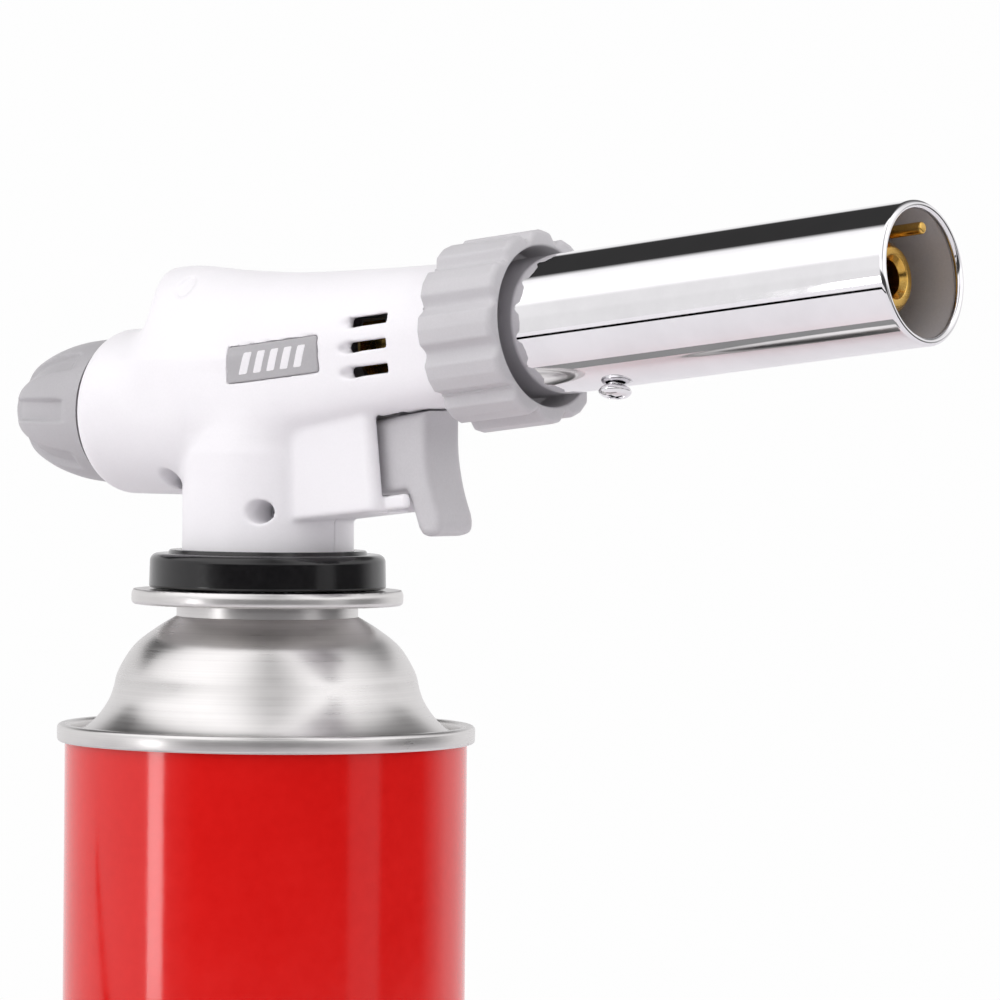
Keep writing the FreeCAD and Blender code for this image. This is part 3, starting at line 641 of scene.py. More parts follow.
def add_piece(name: str, shape: Shape, finish: Finish, body: str, nodes: Sequence[str] = (),
              crease: float = 35.0) -> bpy.types.Object:
    """Makes a shape into a piece of the torch.

    Args:
        name: the piece's name.
        shape: its mesh in millimetres, in the CAD's frame.
        finish: its finish.
        body: the CAD body that it rides on.
        nodes: the CAD nodes that it stands for.
        crease: the angle in degrees over which an edge stays sharp.

    Returns:
        The new object.
    """
    mesh = bpy.data.meshes.new(name)
    mesh.from_pydata((shape.points * MM).tolist(), [], shape.faces)
    work = bmesh.new()
    work.from_mesh(mesh)
    bmesh.ops.remove_doubles(work, verts=work.verts, dist=1e-7)
    bmesh.ops.recalc_face_normals(work, faces=work.faces)
    for face in work.faces:
        face.smooth = True
    for edge in work.edges:
        edge.smooth = edge.calc_face_angle(0) < math.radians(crease)
    work.to_mesh(mesh)
    work.free()
    mesh.materials.append(finish.material())
    piece = bpy.data.objects.new(name, mesh)
    bpy.context.scene.collection.objects.link(piece)
    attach(piece, body)
    if nodes:
        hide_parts(*nodes)
    LOG.info("%s: %d faces, %s, on %s", name, len(mesh.polygons), finish.name, body)
    return piece


def dress(node: str, finish: Finish) -> None:
    """Gives a CAD node a finish and leaves its shape as it is.

    Args:
        node: the CAD node's name.
        finish: its finish.
    """
    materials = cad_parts[node].data.materials
    if not materials:
        materials.append(finish.material())
    for k in range(len(materials)):
        materials[k] = finish.material()
    LOG.info("%s: CAD shape, %s", node, finish.name)


# Sub-assemblies


@dataclass
class Cartridge:
    """The gas cartridge: can body, two seamed ends, mounting flange and valve."""

    sheet: float = 0.4
    wall_inset: float = 0.7
    seam_height: float = 2.9
    seam_below_flange: float = 22.5
    flange_height: float = 2.4
    slot_deg: float = 20.0
    slot_half_deg: float = 19.0
    spring_low: float = -19.4
    spring_high: float = -7.6
    shoulder: tuple[tuple[float, float], ...] = (
        (31.9, -21.2), (29.6, -20.2), (27.5, -18.2), (25.9, -15.8), (25.1, -13.7),
        (24.3, -10.8), (21.8, -6.8), (18.2, -3.9), (14.9, -1.9),
    )

    def body(self) -> Shape:
        """Returns the can's wall, which runs up inside both seams."""
        low, inner = self.wall_inset, CAN_R - self.sheet
        top = FLANGE_Z - self.seam_below_flange + self.seam_height - self.wall_inset
        wall = [(CAN_R, low, 0.1), (CAN_R, top, 0.1), (inner, top, 0.1), (inner, low, 0.1)]
        return lathe(rounded(wall, 3), CAN_STEPS)

    def bottom(self) -> Shape:
        """Returns the foot seam and the end plate that domes up into the can."""
        high, rim = self.seam_height, CAN_R - 1.2
        seam = rounded([(SEAM_R, 0.0, 0.9), (SEAM_R, high, 0.7), (CAN_R + 0.05, high - 0.2, 0.2),
                        (CAN_R + 0.05, 0.9, 0.2), (rim, 0.9, 0.2)])
        dome = smooth_line([(rim, 1.9), (22, 5.5), (12, 7.6), (0, 8.2)], 6)
        # The underside stops short of the rim, where one fillet takes it down to the foot.
        under = [(r, z - 0.5) for r, z in dome[::-1]][:-4]
        foot = rounded([(rim - 1.4, 0.0, 0.6), (rim - 1.5, 1.4, 0.4), (rim - 0.7, 0.0, 0.0)])[:6]
        return lathe([*seam, *dome, *under, *foot], CAN_STEPS)

    def top(self) -> Shape:
        """Returns the top end: seam, gutter, domed shoulder and neck as one pressed sheet."""
        low = -self.seam_below_flange
        high = low + self.seam_height
        seam = rounded([(CAN_R + 0.05, low + 0.1, 0.1), (SEAM_R - 0.05, low, 0.45), (SEAM_R, low + 1.5, 0.0),
                        (SEAM_R, high, 0.75), (CAN_R - 0.8, high, 0.75), (CAN_R - 1.1, low + 1.15, 0.4)])
        outside = smooth_line(self.shoulder)
        inside = [(r - 0.5, z - 0.25) for r, z in outside[::-1]]
        neck = rounded([(14.9, -1.7, 0.0), (14.9, -0.05, 0.1), (14.3, -0.05, 0.1), (14.3, -2.2, 0.0)])
        under = [(CAN_R - 1.0, low + 0.5), (CAN_R - 0.6, low + 1.2), (CAN_R - 0.6, high - 0.8),
                 (CAN_R + 0.05, high - 0.8)]
        return lathe([*seam, *outside, *neck, *inside[:-1], *under], CAN_STEPS).placed(on_flange())

    def flange_field(self, x: Array, y: Array, z: Array) -> Array:
        """The mounting flange: a folded rim, three bayonet slots and a locating notch.

        Args:
            x, y, z: places in the flange's frame.

        Returns:
            The distance outside it, below zero within it.
        """
        radius = np.hypot(x, y)
        high = self.flange_height
        rim = blend_max(slab(radius, FLANGE_R - 1.0, FLANGE_R), slab(z, 0, high), 0.9)
        sheet = np.maximum(slab(radius, 11.2, FLANGE_R - 0.4), slab(z, high - 0.6, high))
        neck = np.maximum(slab(radius, 14.3, 14.9), slab(z, 0, high - 0.3))
        solid = blend_min(blend_min(rim, sheet, 0.5), neck, 0.4)
        for k in range(3):
            middle = math.radians(self.slot_deg + 120 * k)
            turn = np.abs(np.angle(np.exp(1j * (np.arctan2(y, x) - middle))))
            across = turn - math.radians(self.slot_half_deg)
            solid = cut(solid, blend_max(radius - 13.9, across * 12, 0.6), 0.3)
        notch_x = (-x + y) / math.sqrt(2)
        notch_y = (x + y) / math.sqrt(2)
        notch = blend_max(FLANGE_R - 3.4 - notch_x, np.abs(notch_y) - 4.5, 1.2)
        return cut(solid, notch, 0.5)

    def build(self) -> None:
        """Builds and dresses the cartridge."""
        wall = add_piece("can_wall", self.body(), RED_ENAMEL, "cartridge", ["can_body"])
        wall.visible_glossy = False
        add_piece("can_foot_end", self.bottom(), TINPLATE, "cartridge", ["can_bottom"])
        add_piece("can_top_end", self.top(), TINPLATE, "cartridge", ["can_dome"])
        reach = FLANGE_R + 0.5
        flange = skin(self.flange_field, (-reach, -reach, -0.5), (reach, reach, 3.0), 0.22)
        add_piece("mounting_flange", flange.placed(on_flange()), TINPLATE, "cartridge", ["can_flange"])
        spring = coil(radius=2.25, wire=0.6, low=self.spring_low, high=self.spring_high, turns=8)
        spring = spring.placed(on_flange())
        piece = add_piece("valve_spring", spring, MUSIC_WIRE, "cartridge", ["can_valve_spring"])
        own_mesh(piece)
        dress("can_valve_cup", TINPLATE)
        dress("can_valve_housing", ACETAL)
        dress("can_valve_gasket", NITRILE)
        for node in ("can_valve_stem", "can_dip_tube"):
            dress(node, BRASS)


@dataclass
class FootRing:
    """The gloss black ring that the torch turns by, and the steel bayonet hub under it."""

    low: float = 2.7
    high: float = 8.4
    rim_high: float = 9.0
    rim_radius: float = 16.1
    floor: float = 6.0
    bore: float = 10.3

    def ring(self) -> Shape:
        """Returns the ring, with its raised rim round the housing's neck."""
        pocket = NECK_R + 0.15
        outline = [
            (FOOT_R, self.low, 0.5), (FOOT_R - 0.15, self.high, 1.3), (self.rim_radius + 0.3, self.high, 0.2),
            (self.rim_radius, self.rim_high, 0.3), (pocket, self.rim_high, 0.2), (pocket, self.floor, 0.2),
            (self.bore, self.floor, 0.2), (self.bore, self.low, 0.2),
        ]
        return lathe(rounded(outline, 7), CAN_STEPS).placed(on_flange())

    def build(self) -> None:
        """Builds and dresses the foot."""
        add_piece("foot_ring", self.ring(), BLACK_NYLON, "head", ["base_ring"])
        dress("lock_hub", ZINCED_STEEL)
        dress("hub_screws", ZINCED_STEEL)
        dress("inlet_gasket", NITRILE)
        dress("inlet_filter", BRASS)


@dataclass
class Housing:
    """The white housing in two shells, with its vents, screw recesses and trigger guard."""

    stations: tuple[float, ...] = (-22.0, -13.3, -4.7, 8.0, 20.5, 33.0, 43.0)
    half_widths: tuple[float, ...] = (11.6, 11.6, 11.5, 11.4, 11.1, 10.8, 10.7)
    heights: tuple[float, ...] = (18.4, 18.4, 16.4, 14.4, 13.35, 12.5, 12.0)
    depths: tuple[float, ...] = (12.0, 12.3, 12.5, 12.5, 11.8, 10.85, 10.4)
    ridge_power: float = 1.8
    belly_power: float = 4.0
    # The body's back is half an ellipse in plan: its middle, its reach and half its width
    back_x: float = -12.0
    back_reach: float = 9.0
    back_half: float = 13.2
    # The neck draws in as it rises, and the rear tube as it runs forwards
    neck_foot: float = 7.7
    neck_levels: tuple[float, ...] = (22.0, 25.0, 28.0, 31.0, 34.0, 38.0)
    neck_radii: tuple[float, ...] = (14.1, 13.95, 13.4, 12.6, 11.5, 9.5)
    neck_blend: float = 4.0
    rear_radius: float = 13.75
    rear_x: float = -31.3
    rear_places: tuple[float, ...] = (-11.0, -8.0, -5.0, -2.0, 2.0, 7.0)
    rear_draw: tuple[float, ...] = (0.0, 0.15, 0.7, 1.6, 3.1, 5.2)
    # The rear tube's corner with the body grows softer between two heights
    rear_blend_levels: tuple[float, float] = (28.0, 40.0)
    rear_blend: tuple[float, float] = (1.2, 6.5)
    # The block that guides the trigger, and the lip that runs out under it
    block_half: float = 8.0
    block_front: float = 26.5
    block_wall: float = 1.9
    block_top: float = -6.0
    floor: float = -26.25
    floor_top: float = -23.95
    lip_front: float = 31.2
    lip_half: float = 6.0
    slot_half: float = 4.95
    slot_start: float = 22.5
    # Room over the pulled trigger: stations and heights
    relief_span: tuple[float, float] = (20.0, 31.0)
    relief_levels: tuple[float, float] = (-11.9, -10.55)
    # Two ribs grip the jet holder
    rib_starts: tuple[float, ...] = (16.6, 20.1)
    rib_thickness: float = 1.3
    rib_bore: float = 7.9
    rib_reach: float = 13.0
    boss_wall: float = 1.0
    # Each vent is a slot with a scoop at its rear end: station, half length and half height
    vent_pitch: float = 4.0
    vent: tuple[float, float, float] = (29.25, 3.95, 0.8)
    scoop: tuple[float, float, float] = (25.8, 2.3, 0.85)
    scoop_depth: float = 1.5
    # The label's seat: station and height of its middle, half its length and half its height
    label_seat: tuple[float, float, float, float] = (10.2, -0.25, 9.2, 3.05)
    label_depth: float = 0.57
    # x, height, recess radius, y of the seat, y of the screw's tip and the depth of open recess
    screws: tuple[tuple[float, ...], ...] = (
        (-13.0, 52.0, 1.6, -3.3, 4.6, 0.35),
        (-14.0, 20.3, 1.9, -3.0, 6.2, 9.0),
        (7.75, 15.5, 1.9, -5.6, 8.6, 9.0),
    )
    screw_bore: float = 1.15
    pitch: float = 0.35

    def eased(self, values: Sequence[float], station: Array) -> Array:
        """Reads a size at each station from a table, with its kinks smoothed away.

        Args:
            values: the size at each of the housing's own stations.
            station: where to read it.

        Returns:
            The size at each station.
        """
        step, spread, reach = 0.5, 3.0, 24
        fine = np.arange(-40.0, 70.0, step)
        level = np.interp(fine, self.stations, values)
        weight = np.exp(-((np.arange(-reach, reach + 1) * step / spread) ** 2) / 2)
        padded = np.pad(level, reach, mode="edge")
        return np.interp(station, fine, np.convolve(padded, weight / weight.sum(), "valid"))

    def upper_body(self, x: Array, y: Array, z: Array, shrink: float) -> Array:
        """The long body round the barrel's axis: full sides, a rounded ridge and a rounded back.

        Args:
            x, y, z: places in the flange's frame.
            shrink: how much smaller than the outer form it is taken.

        Returns:
            The distance outside it, below zero within it.
        """
        station, height = to_barrel(x, z)
        half = self.eased(self.half_widths, station) - shrink
        above = self.eased(self.heights, station) - shrink
        below = self.eased(self.depths, station) - min(shrink, 1.5)
        power = np.where(height > 0, self.ridge_power, self.belly_power)
        tall = np.where(height > 0, above, below)
        ratio = ((np.abs(y) / half) ** power + (np.abs(height) / tall) ** power) ** (1 / power)
        side = np.hypot(y, height) * (1 - 1 / np.maximum(ratio, 0.05))
        reach = self.back_reach - shrink
        back = np.minimum(x - self.back_x, 0) / reach
        plan = (np.hypot(back, y / (self.back_half - shrink)) - 1) * reach
        return blend_max(side, plan, 1.5)

    def neck(self, x: Array, y: Array, z: Array, shrink: float) -> Array:
        """The round neck, which draws in as it runs up into the body."""
        radius = np.interp(z, self.neck_levels, self.neck_radii)
        return np.maximum(np.hypot(x, y) - radius, z - self.neck_levels[-1]) + shrink

    def rear(self, x: Array, y: Array, z: Array, shrink: float) -> Array:
        """The round tube in front of the knob, which draws in as it runs forward into the body."""
        radius = self.rear_radius - np.interp(x, self.rear_places, self.rear_draw)
        return np.maximum(np.hypot(y, z - KNOB_H) - radius, x - self.rear_places[-1]) + shrink

    def outside(self, x: Array, y: Array, z: Array) -> Array:
        """The housing's outer form as one solid.

        Args:
            x, y, z: places in the flange's frame.

        Returns:
            The distance outside it, below zero within it.
        """
        station, height = to_barrel(x, z)
        upper = blend_max(self.upper_body(x, y, z, 0.0), station - self.stations[-1], 0.6)
        rear = blend_max(self.rear(x, y, z, 0.0), self.rear_x - x, 3.0)
        neck = blend_max(self.neck(x, y, z, 0.0), self.neck_foot - z, 0.5)
        reach = np.interp(z, self.rear_blend_levels, self.rear_blend)
        solid = blend_min(blend_min(upper, neck, self.neck_blend), rear, reach)
        plan = rounded_plan(station - self.block_front / 2, y, self.block_front / 2, self.block_half, 1.8)
        block = blend_max(plan, slab(height, self.floor, self.block_top), 0.9)
        plan = rounded_plan(station - self.lip_front / 2, y, self.lip_front / 2, self.lip_half, 1.2)
        lip = blend_max(plan, slab(height, self.floor, self.floor_top), 0.7)
        return blend_min(blend_min(solid, block, 0.8), lip, 0.4)

    def inside(self, x: Array, y: Array, z: Array) -> Array:
        """The space inside the shells, with the trigger's opening, its relief and the toe slot.

        Args:
            x, y, z: places in the flange's frame.

        Returns:
            The distance outside it, below zero within it.
        """
        station, height = to_barrel(x, z)
        upper = self.upper_body(x, y, z, SHELL_WALL)
        rear = self.rear(x, y, z, SHELL_WALL)
        neck = self.neck(x, y, z, SHELL_WALL)
        side = np.abs(y)
        block = slab(height, self.floor_top, self.block_top - 1)
        block = np.maximum(block, slab(station, 0.0, self.block_front + 0.5))
        block = np.maximum(block, side - self.block_half + self.block_wall)
        slot = np.maximum(slab(height, self.floor - 3, self.floor_top + 1), self.slot_start - station)
        relief = np.maximum(slab(height, *self.relief_levels), slab(station, *self.relief_span))
        slots = np.maximum(np.minimum(slot, relief), side - self.slot_half)
        cavities = np.minimum(np.minimum(upper, rear), neck)
        return np.minimum(np.minimum(cavities, block), slots)

    def ribs(self, x: Array, y: Array, z: Array) -> Array:
        """Two ribs that grip the jet holder, and the bosses round the screws.

        Args:
            x, y, z: places in the flange's frame.

        Returns:
            The distance outside it, below zero within it.
        """
        station, height = to_barrel(x, z)
        radius = np.hypot(y, height)
        solid = np.full(x.shape, np.inf)
        grip = slab(radius, self.rib_bore, self.rib_reach)
        for low in self.rib_starts:
            rib = np.maximum(slab(station, low, low + self.rib_thickness), grip)
            solid = np.minimum(solid, np.maximum(rib, self.upper_body(x, y, z, 0.3)))
        for screw_x, screw_z, recess, *_ in self.screws:
            boss = np.hypot(x - screw_x, z - screw_z) - recess - self.boss_wall
            solid = np.minimum(solid, boss)
        return solid

    def openings(self, x: Array, y: Array, z: Array, side: int) -> list[tuple[Array, float]]:
        """Everything cut through a shell: vents with scooped ends, screw holes, label seat.

        Args:
            x, y, z: places in the flange's frame.
            side: -1 for the right shell and 1 for the left.

        Returns:
            Pairs of a field to cut away and the softness of its edge.
        """
        station, height = to_barrel(x, z)
        wall = np.abs(y) - self.eased(self.half_widths, station)
        middle, half_length, half_height = self.vent
        scoop_station, scoop_length, scoop_height = self.scoop
        found = []
        for k in (-1, 0, 1):
            level = height - k * self.vent_pitch
            vent = rounded_plan(station - middle, level, half_length, half_height, 0.35)
            found.append((np.maximum(vent, 5.0 - np.abs(y)), 0.4))
            along = (station - scoop_station) / scoop_length
            scoop = np.sqrt(along**2 + (level / scoop_height) ** 2 + (wall / self.scoop_depth) ** 2)
            found.append(((scoop - 1) * scoop_height, 0.5))
        for screw_x, screw_z, recess, seat, tip, depth in self.screws:
            reach = np.hypot(x - screw_x, z - screw_z)
            if side < 0:
                floor = np.maximum(y - seat, -depth - self.outside(x, y, z))
                found.append((np.maximum(reach - recess, floor), 0.5))
            found.append((np.maximum(reach - self.screw_bore, slab(y, seat - 1, tip + 0.4)), 0.2))
        if side < 0:
            across, up, half_length, half_height = self.label_seat
            label = rounded_plan(station - across, height - up, half_length, half_height, 0.5)
            deep = np.maximum(y, -self.label_depth - self.outside(x, y, z))
            found.append((np.maximum(label, deep), 0.15))
        return found

    def shell(self, side: int) -> Shape:
        """Makes the shell on one side of the parting plane.

        Args:
            side: -1 for the right shell and 1 for the left.

        Returns:
            The shell.
        """
        def solid(x: Array, y: Array, z: Array) -> Array:
            """The wall of this side, cut off just short of the parting plane.

            Args:
                x, y, z: places in the flange's frame.

            Returns:
                The distance outside it, below zero within it.
            """
            outside = self.outside(x, y, z)
            wall = cut(outside, self.inside(x, y, z), 0.3)
            wall = np.minimum(wall, np.maximum(self.ribs(x, y, z), outside + 0.3))
            for opening, edge in self.openings(x, y, z, side):
                wall = cut(wall, opening, edge)
            return blend_max(wall, 0.02 - y * side, 0.12)

        low_y, high_y = (-15.0, 0.5) if side < 0 else (-0.5, 15.0)
        return skin(solid, (-32.5, low_y, 7.0), (44.5, high_y, 58.5), self.pitch).placed(on_flange())

    def build(self) -> None:
        """Builds both shells."""
        for hand, side in (("right", -1), ("left", 1)):
            add_piece(f"shell_{hand}", self.shell(side), WHITE_ABS, "head", [f"housing_{hand}"], 60)


@dataclass
class CrossScrew:
    """A pan-head screw with a cross recess, built upright with its head at the top."""

    head_radius: float
    shank_length: float
    head_height: float = 1.4
    shank_radius: float = 1.1

    def field(self, x: Array, y: Array, z: Array) -> Array:
        """The screw as a solid, the head's underside at height 0.

        Args:
            x, y, z: places about the screw's own axis.

        Returns:
            The distance outside it, below zero within it.
        """
        radius = np.hypot(x, y)
        head = blend_max(radius - self.head_radius, slab(z, 0, self.head_height), self.head_height * 0.9)
        shank = blend_max(radius - self.shank_radius, slab(z, -self.shank_length, 0.2), 0.4)
        arm, wide = self.head_radius * 0.55, self.head_radius * 0.13
        ahead, aside = np.abs(x), np.abs(y)
        cross = np.minimum(np.maximum(ahead - arm, aside - wide), np.maximum(aside - arm, ahead - wide))
        recess = np.maximum(cross, self.head_height * 0.45 - z)
        return cut(np.minimum(head, shank), recess, 0.12)

    def shape(self) -> Shape:
        """Returns the screw's mesh."""
        reach = self.head_radius + 0.3
        low = (-reach, -reach, -self.shank_length - 0.3)
        return skin(self.field, low, (reach, reach, self.head_height + 0.3), 0.13)


@dataclass
class HousingScrews:
    """The screws that close the two shells."""

    housing: Housing
    turned_deg: float = 20.0

    def build(self) -> None:
        """Builds the screws as one piece of separate solids."""
        lying = Matrix.Rotation(math.radians(90), 4, "X")
        turned = Matrix.Rotation(math.radians(self.turned_deg), 4, "Z")
        whole = None
        for x, z, recess, seat, tip, _ in self.housing.screws:
            screw = CrossScrew(head_radius=recess - 0.15, shank_length=tip - seat).shape()
            place = Matrix.Translation((x, seat, FLANGE_Z + z)) @ lying @ turned
            placed = screw.placed(place)
            whole = placed if whole is None else whole.joined(placed)
        add_piece("shell_screws", whole, ZINCED_STEEL, "head", ["housing_screws"], 50)


@dataclass
class Nameplate:
    """The grey film label let into the right shell, printed with plain slanted bars."""

    housing: Housing
    start: float = 1.1
    end: float = 19.3
    low: float = -3.2
    high: float = 2.7
    depth: float = 0.55
    proud: float = 0.1
    bars: int = 5
    bar_lean: float = 0.35
    bar_margin: float = 2.2
    bar_share: float = 0.58
    bar_half_height: float = 1.75
    ink: float = 0.05

    def plate_field(self, x: Array, y: Array, z: Array) -> Array:
        """The plate: a thin card with rounded corners, bent to the housing's side.

        Args:
            x, y, z: places in the flange's frame.

        Returns:
            The distance outside it, below zero within it.
        """
        station, height = to_barrel(x, z)
        half_s, half_h = (self.end - self.start) / 2, (self.high - self.low) / 2
        plan = rounded_plan(station - self.start - half_s, height - self.low - half_h, half_s, half_h, 0.5)
        card = slab(self.housing.outside(x, y, z), -self.depth, self.proud)
        return blend_max(np.maximum(plan, y), card, 0.2)

    def bar_field(self, x: Array, y: Array, z: Array) -> Array:
        """The printed bars: a row of equal slanted strokes.

        Args:
            x, y, z: places in the flange's frame.

        Returns:
            The distance outside it, below zero within it.
        """
        station, height = to_barrel(x, z)
        middle = (self.low + self.high) / 2
        upright = station - (height - middle) * self.bar_lean
        step = (self.end - self.start - 2 * self.bar_margin) / self.bars
        place = (upright - self.start - self.bar_margin) / step
        nearest = np.clip(np.floor(place), 0, self.bars - 1) + 0.5
        across = (np.abs(place - nearest) - self.bar_share / 2) * step
        stroke = blend_max(across, np.abs(height - middle) - self.bar_half_height, 0.3)
        film = slab(self.housing.outside(x, y, z), self.proud - 0.2, self.proud + self.ink)
        return np.maximum(np.maximum(stroke, y), film)

    def build(self) -> None:
        """Builds the plate and its print."""
        low = (self.start - 1, -12.5, BARREL_H + self.low - 1.5)
        high = (self.end + 1, -9.5, BARREL_H + self.high + 3.5)
        plate = skin(self.plate_field, low, high, 0.16)
        add_piece("label_plate", plate.placed(on_flange()), LABEL_FILM, "head", ["nameplate"], 50)
        bars = skin(self.bar_field, low, high, 0.1)
        add_piece("label_bars", bars.placed(on_flange()), LABEL_INK, "head", crease=50)


@dataclass
class Knob:
    """The fluted regulator knob on its spindle, with the screw in its tip."""

    radius: float = 12.1
    length: float = 21.6
    front: float = 31.8
    wall: float = 1.8
    flutes: int = 8
    flute_deg: float = 17.0
    flute_depth: float = 1.1
    # Where each flute starts and ends, as shares of the knob's length, and how blurred its edges are
    flute_start: float = 0.17
    flute_end: float = 0.86
    flute_blur: float = 0.08
    start_blur: float = 0.012
    end_blur: float = 0.02
    core_radius: float = 3.8
    spindle_bore: float = 2.03
    screw_bore: float = 2.6
    screw_seat: float = 51.2

    def dome(self, radius: float, length: float, steps: int, stop_deg: float) -> list[tuple[float, float]]:
        """Runs along a quarter of an ellipse, from the rim towards the tip.

        Args:
            radius: the ellipse's half width, at the rim.
            length: its half length, along the knob's axis.
            steps: the straight pieces in the curve.
            stop_deg: how far round it goes.

        Returns:
            The curve's (radius, height) points.
        """
        angles = [math.radians(stop_deg) * k / steps for k in range(steps + 1)]
        return [(radius * math.cos(a), self.front + length * math.sin(a)) for a in angles]

    def shape(self) -> Shape:
        """Returns the knob's shell, with the flutes pressed into its outside."""
        outer = self.dome(self.radius, self.length, 44, 78)
        inner = self.dome(self.radius - self.wall, self.length - 3.5, 20, 68)
        tip = outer[-1][1]
        wide, narrow, seat, rear = self.screw_bore, self.spindle_bore, self.screw_seat, self.front + 1
        core = rounded([(wide + 0.02, tip, 0.0), (wide, tip - 0.3, 0.2), (wide, seat, 0.2),
                        (narrow, seat, 0.1), (narrow, rear, 0.2), (self.core_radius, rear, 0.3)])
        knob = lathe([*outer, *core, (self.core_radius, inner[-1][1]), *inner[::-1]], 288)
        return Shape(self.fluted(knob.points), knob.faces).placed(rear_axis())

    def fluted(self, points: Array) -> Array:
        """Presses the flutes into the knob's outside, each with a steep edge all round.

        Args:
            points: the plain knob's points, about its own axis.

        Returns:
            The points of the fluted knob.
        """
        radius = np.hypot(points[:, 0], points[:, 1])
        along = (points[:, 2] - self.front) / self.length
        full = self.radius * np.sqrt(np.clip(1 - along**2, 0, 1))
        pitch = 2 * math.pi / self.flutes
        angle = np.arctan2(points[:, 1], points[:, 0])
        offset = np.abs(angle - pitch * np.round(angle / pitch)) * np.maximum(radius, 5.0)
        half = math.radians(self.flute_deg) / 2 * self.radius
        across = 1 / (1 + np.exp((offset - half) / self.flute_blur))
        start = 1 / (1 + np.exp((self.flute_start - along) / self.start_blur))
        finish = 1 / (1 + np.exp((along - self.flute_end) / self.end_blur))
        depth = self.flute_depth * across * start * finish * (np.abs(radius - full) < 0.05)
        shrink = (radius - depth) / np.maximum(radius, 0.01)
        return points * np.stack([shrink, shrink, np.ones_like(shrink)], 1)

    def build(self) -> None:
        """Builds the knob and dresses what it turns."""
        add_piece("regulator_knob", self.shape(), KNOB_ABS, "knob", ["knob"], 60)
        seat = Matrix.Translation((0, 0, self.screw_seat))
        screw = CrossScrew(head_radius=2.4, shank_length=2.1, shank_radius=1.05).shape().placed(seat)
        add_piece("knob_tip_screw", screw.placed(rear_axis()), ZINCED_STEEL, "knob", ["knob_screw"], 50)
        dress("regulator_spindle", BRASS)
        dress("spindle_seal", NITRILE)
        dress("gland_nut", BRASS)
        dress("valve_body", DIE_CAST_ZINC)


@dataclass
class AirCollar:
    """The scalloped collar that opens and closes the air vents."""

    radius: float = 15.5
    start: float = 43.3
    end: float = 57.65
    bore: float = 11.5
    mouth: float = 12.8
    mouth_depth: float = 7.0
    lip_bore: float = 7.6
    lip_thickness: float = 2.0
    grooves: int = 12
    groove_half: float = 1.9
    groove_depth: float = 1.15
    phase_deg: float = 13.0
    crown: float = 0.28

    def shape(self) -> Shape:
        """Returns the collar, its grooves pressed into the outside, open in front round the tube."""
        lip, floor = self.start + self.lip_thickness, self.end - self.mouth_depth
        outline = [
            (self.lip_bore, self.start, 0.1), (self.radius, self.start, 0.5), (self.radius, self.end, 1.0),
            (self.mouth, self.end, 0.4), (self.mouth, floor, 0.4), (self.bore, floor - 0.4, 0.3),
            (self.bore, lip, 0.1), (self.lip_bore, lip, 0.1),
        ]
        collar = lathe(rounded(outline, 8), 360)
        return Shape(self.grooved(collar.points), collar.faces).placed(barrel_axis())

    def grooved(self, points: Array) -> Array:
        """Draws the collar's outside in at each groove and crowns the lands between them.

        Args:
            points: the plain collar's points, about its own axis.

        Returns:
            The points of the scalloped collar.
        """
        radius = np.hypot(points[:, 0], points[:, 1])
        pitch = 2 * math.pi / self.grooves
        angle = np.arctan2(points[:, 1], points[:, 0]) - math.radians(self.phase_deg)
        offset = np.abs(angle - pitch * np.round(angle / pitch)) * self.radius / self.groove_half
        dip = np.where(offset < 1, (1 - np.minimum(offset, 1) ** 2) ** 1.5, 0)
        between = offset / (pitch * self.radius / 2 / self.groove_half)
        crown = self.crown * between**2 - self.crown
        outer = np.clip((radius - self.mouth - 0.4) / 1.5, 0, 1)
        outer = outer * outer * (3 - 2 * outer)
        shift = (crown * (offset > 0) - dip * self.groove_depth) * outer
        grown = (radius + shift) / radius
        return points * np.stack([grown, grown, np.ones_like(grown)], 1)

    def build(self) -> None:
        """Builds the collar and dresses its sleeve."""
        add_piece("scalloped_collar", self.shape(), COLLAR_ABS, "air_collar", ["air_collar"], 60)
        dress("air_sleeve", ZINCED_STEEL)


@dataclass
class Barrel:
    """The polished barrel with its rolled mouth, its socket and its screw."""

    radius: float = 11.1
    bore: float = 10.4
    mouth: float = 9.75
    start: float = 46.0
    end: float = 128.7
    screw_station: float = 71.5
    screw_lean: float = 12.0

    def tube(self) -> Shape:
        """Returns the tube, its edge rolled in at the mouth."""
        bead = (self.radius - self.mouth) / 2
        middle = self.end - bead
        arc = [math.radians(a) for a in range(0, 241, 12)]
        centre = (self.radius + self.mouth) / 2
        roll = [(centre + bead * math.cos(a), middle + bead * math.sin(a)) for a in arc]
        run = [(self.radius, self.start + (middle - self.start) * k / 12) for k in range(12)]
        back = [(self.bore, middle - 1.0), (self.bore, self.start)]
        return lathe([*run, *roll, *back], 192).placed(barrel_axis())

    def build(self) -> None:
        """Builds the barrel and its screw, and dresses the socket."""
        tube = add_piece("polished_barrel", self.tube(), CHROME, "head", ["barrel_tube"])
        tube.data.materials.append(BORE_STEEL.material())
        inner = barrel_axis().inverted()
        for face in tube.data.polygons:
            spot = inner @ (face.center / MM)
            if math.hypot(spot.x, spot.y) < self.bore + 0.05 and spot.z < self.end - 0.9:
                face.material_index = 1
        screw = CrossScrew(head_radius=2.74, shank_length=4.5, head_height=1.95, shank_radius=1.3).shape()
        lean = Matrix.Rotation(math.radians(180 - self.screw_lean), 4, "Z")
        tilt = Matrix.Rotation(math.radians(90), 4, "Y")
        place = barrel_axis(self.screw_station) @ lean @ Matrix.Translation((self.radius + 0.05, 0, 0)) @ tilt
        add_piece("barrel_screw", screw.placed(place), CHROME, "head", ["tube_screw"], 50)
        dress("barrel_socket", BRASS)


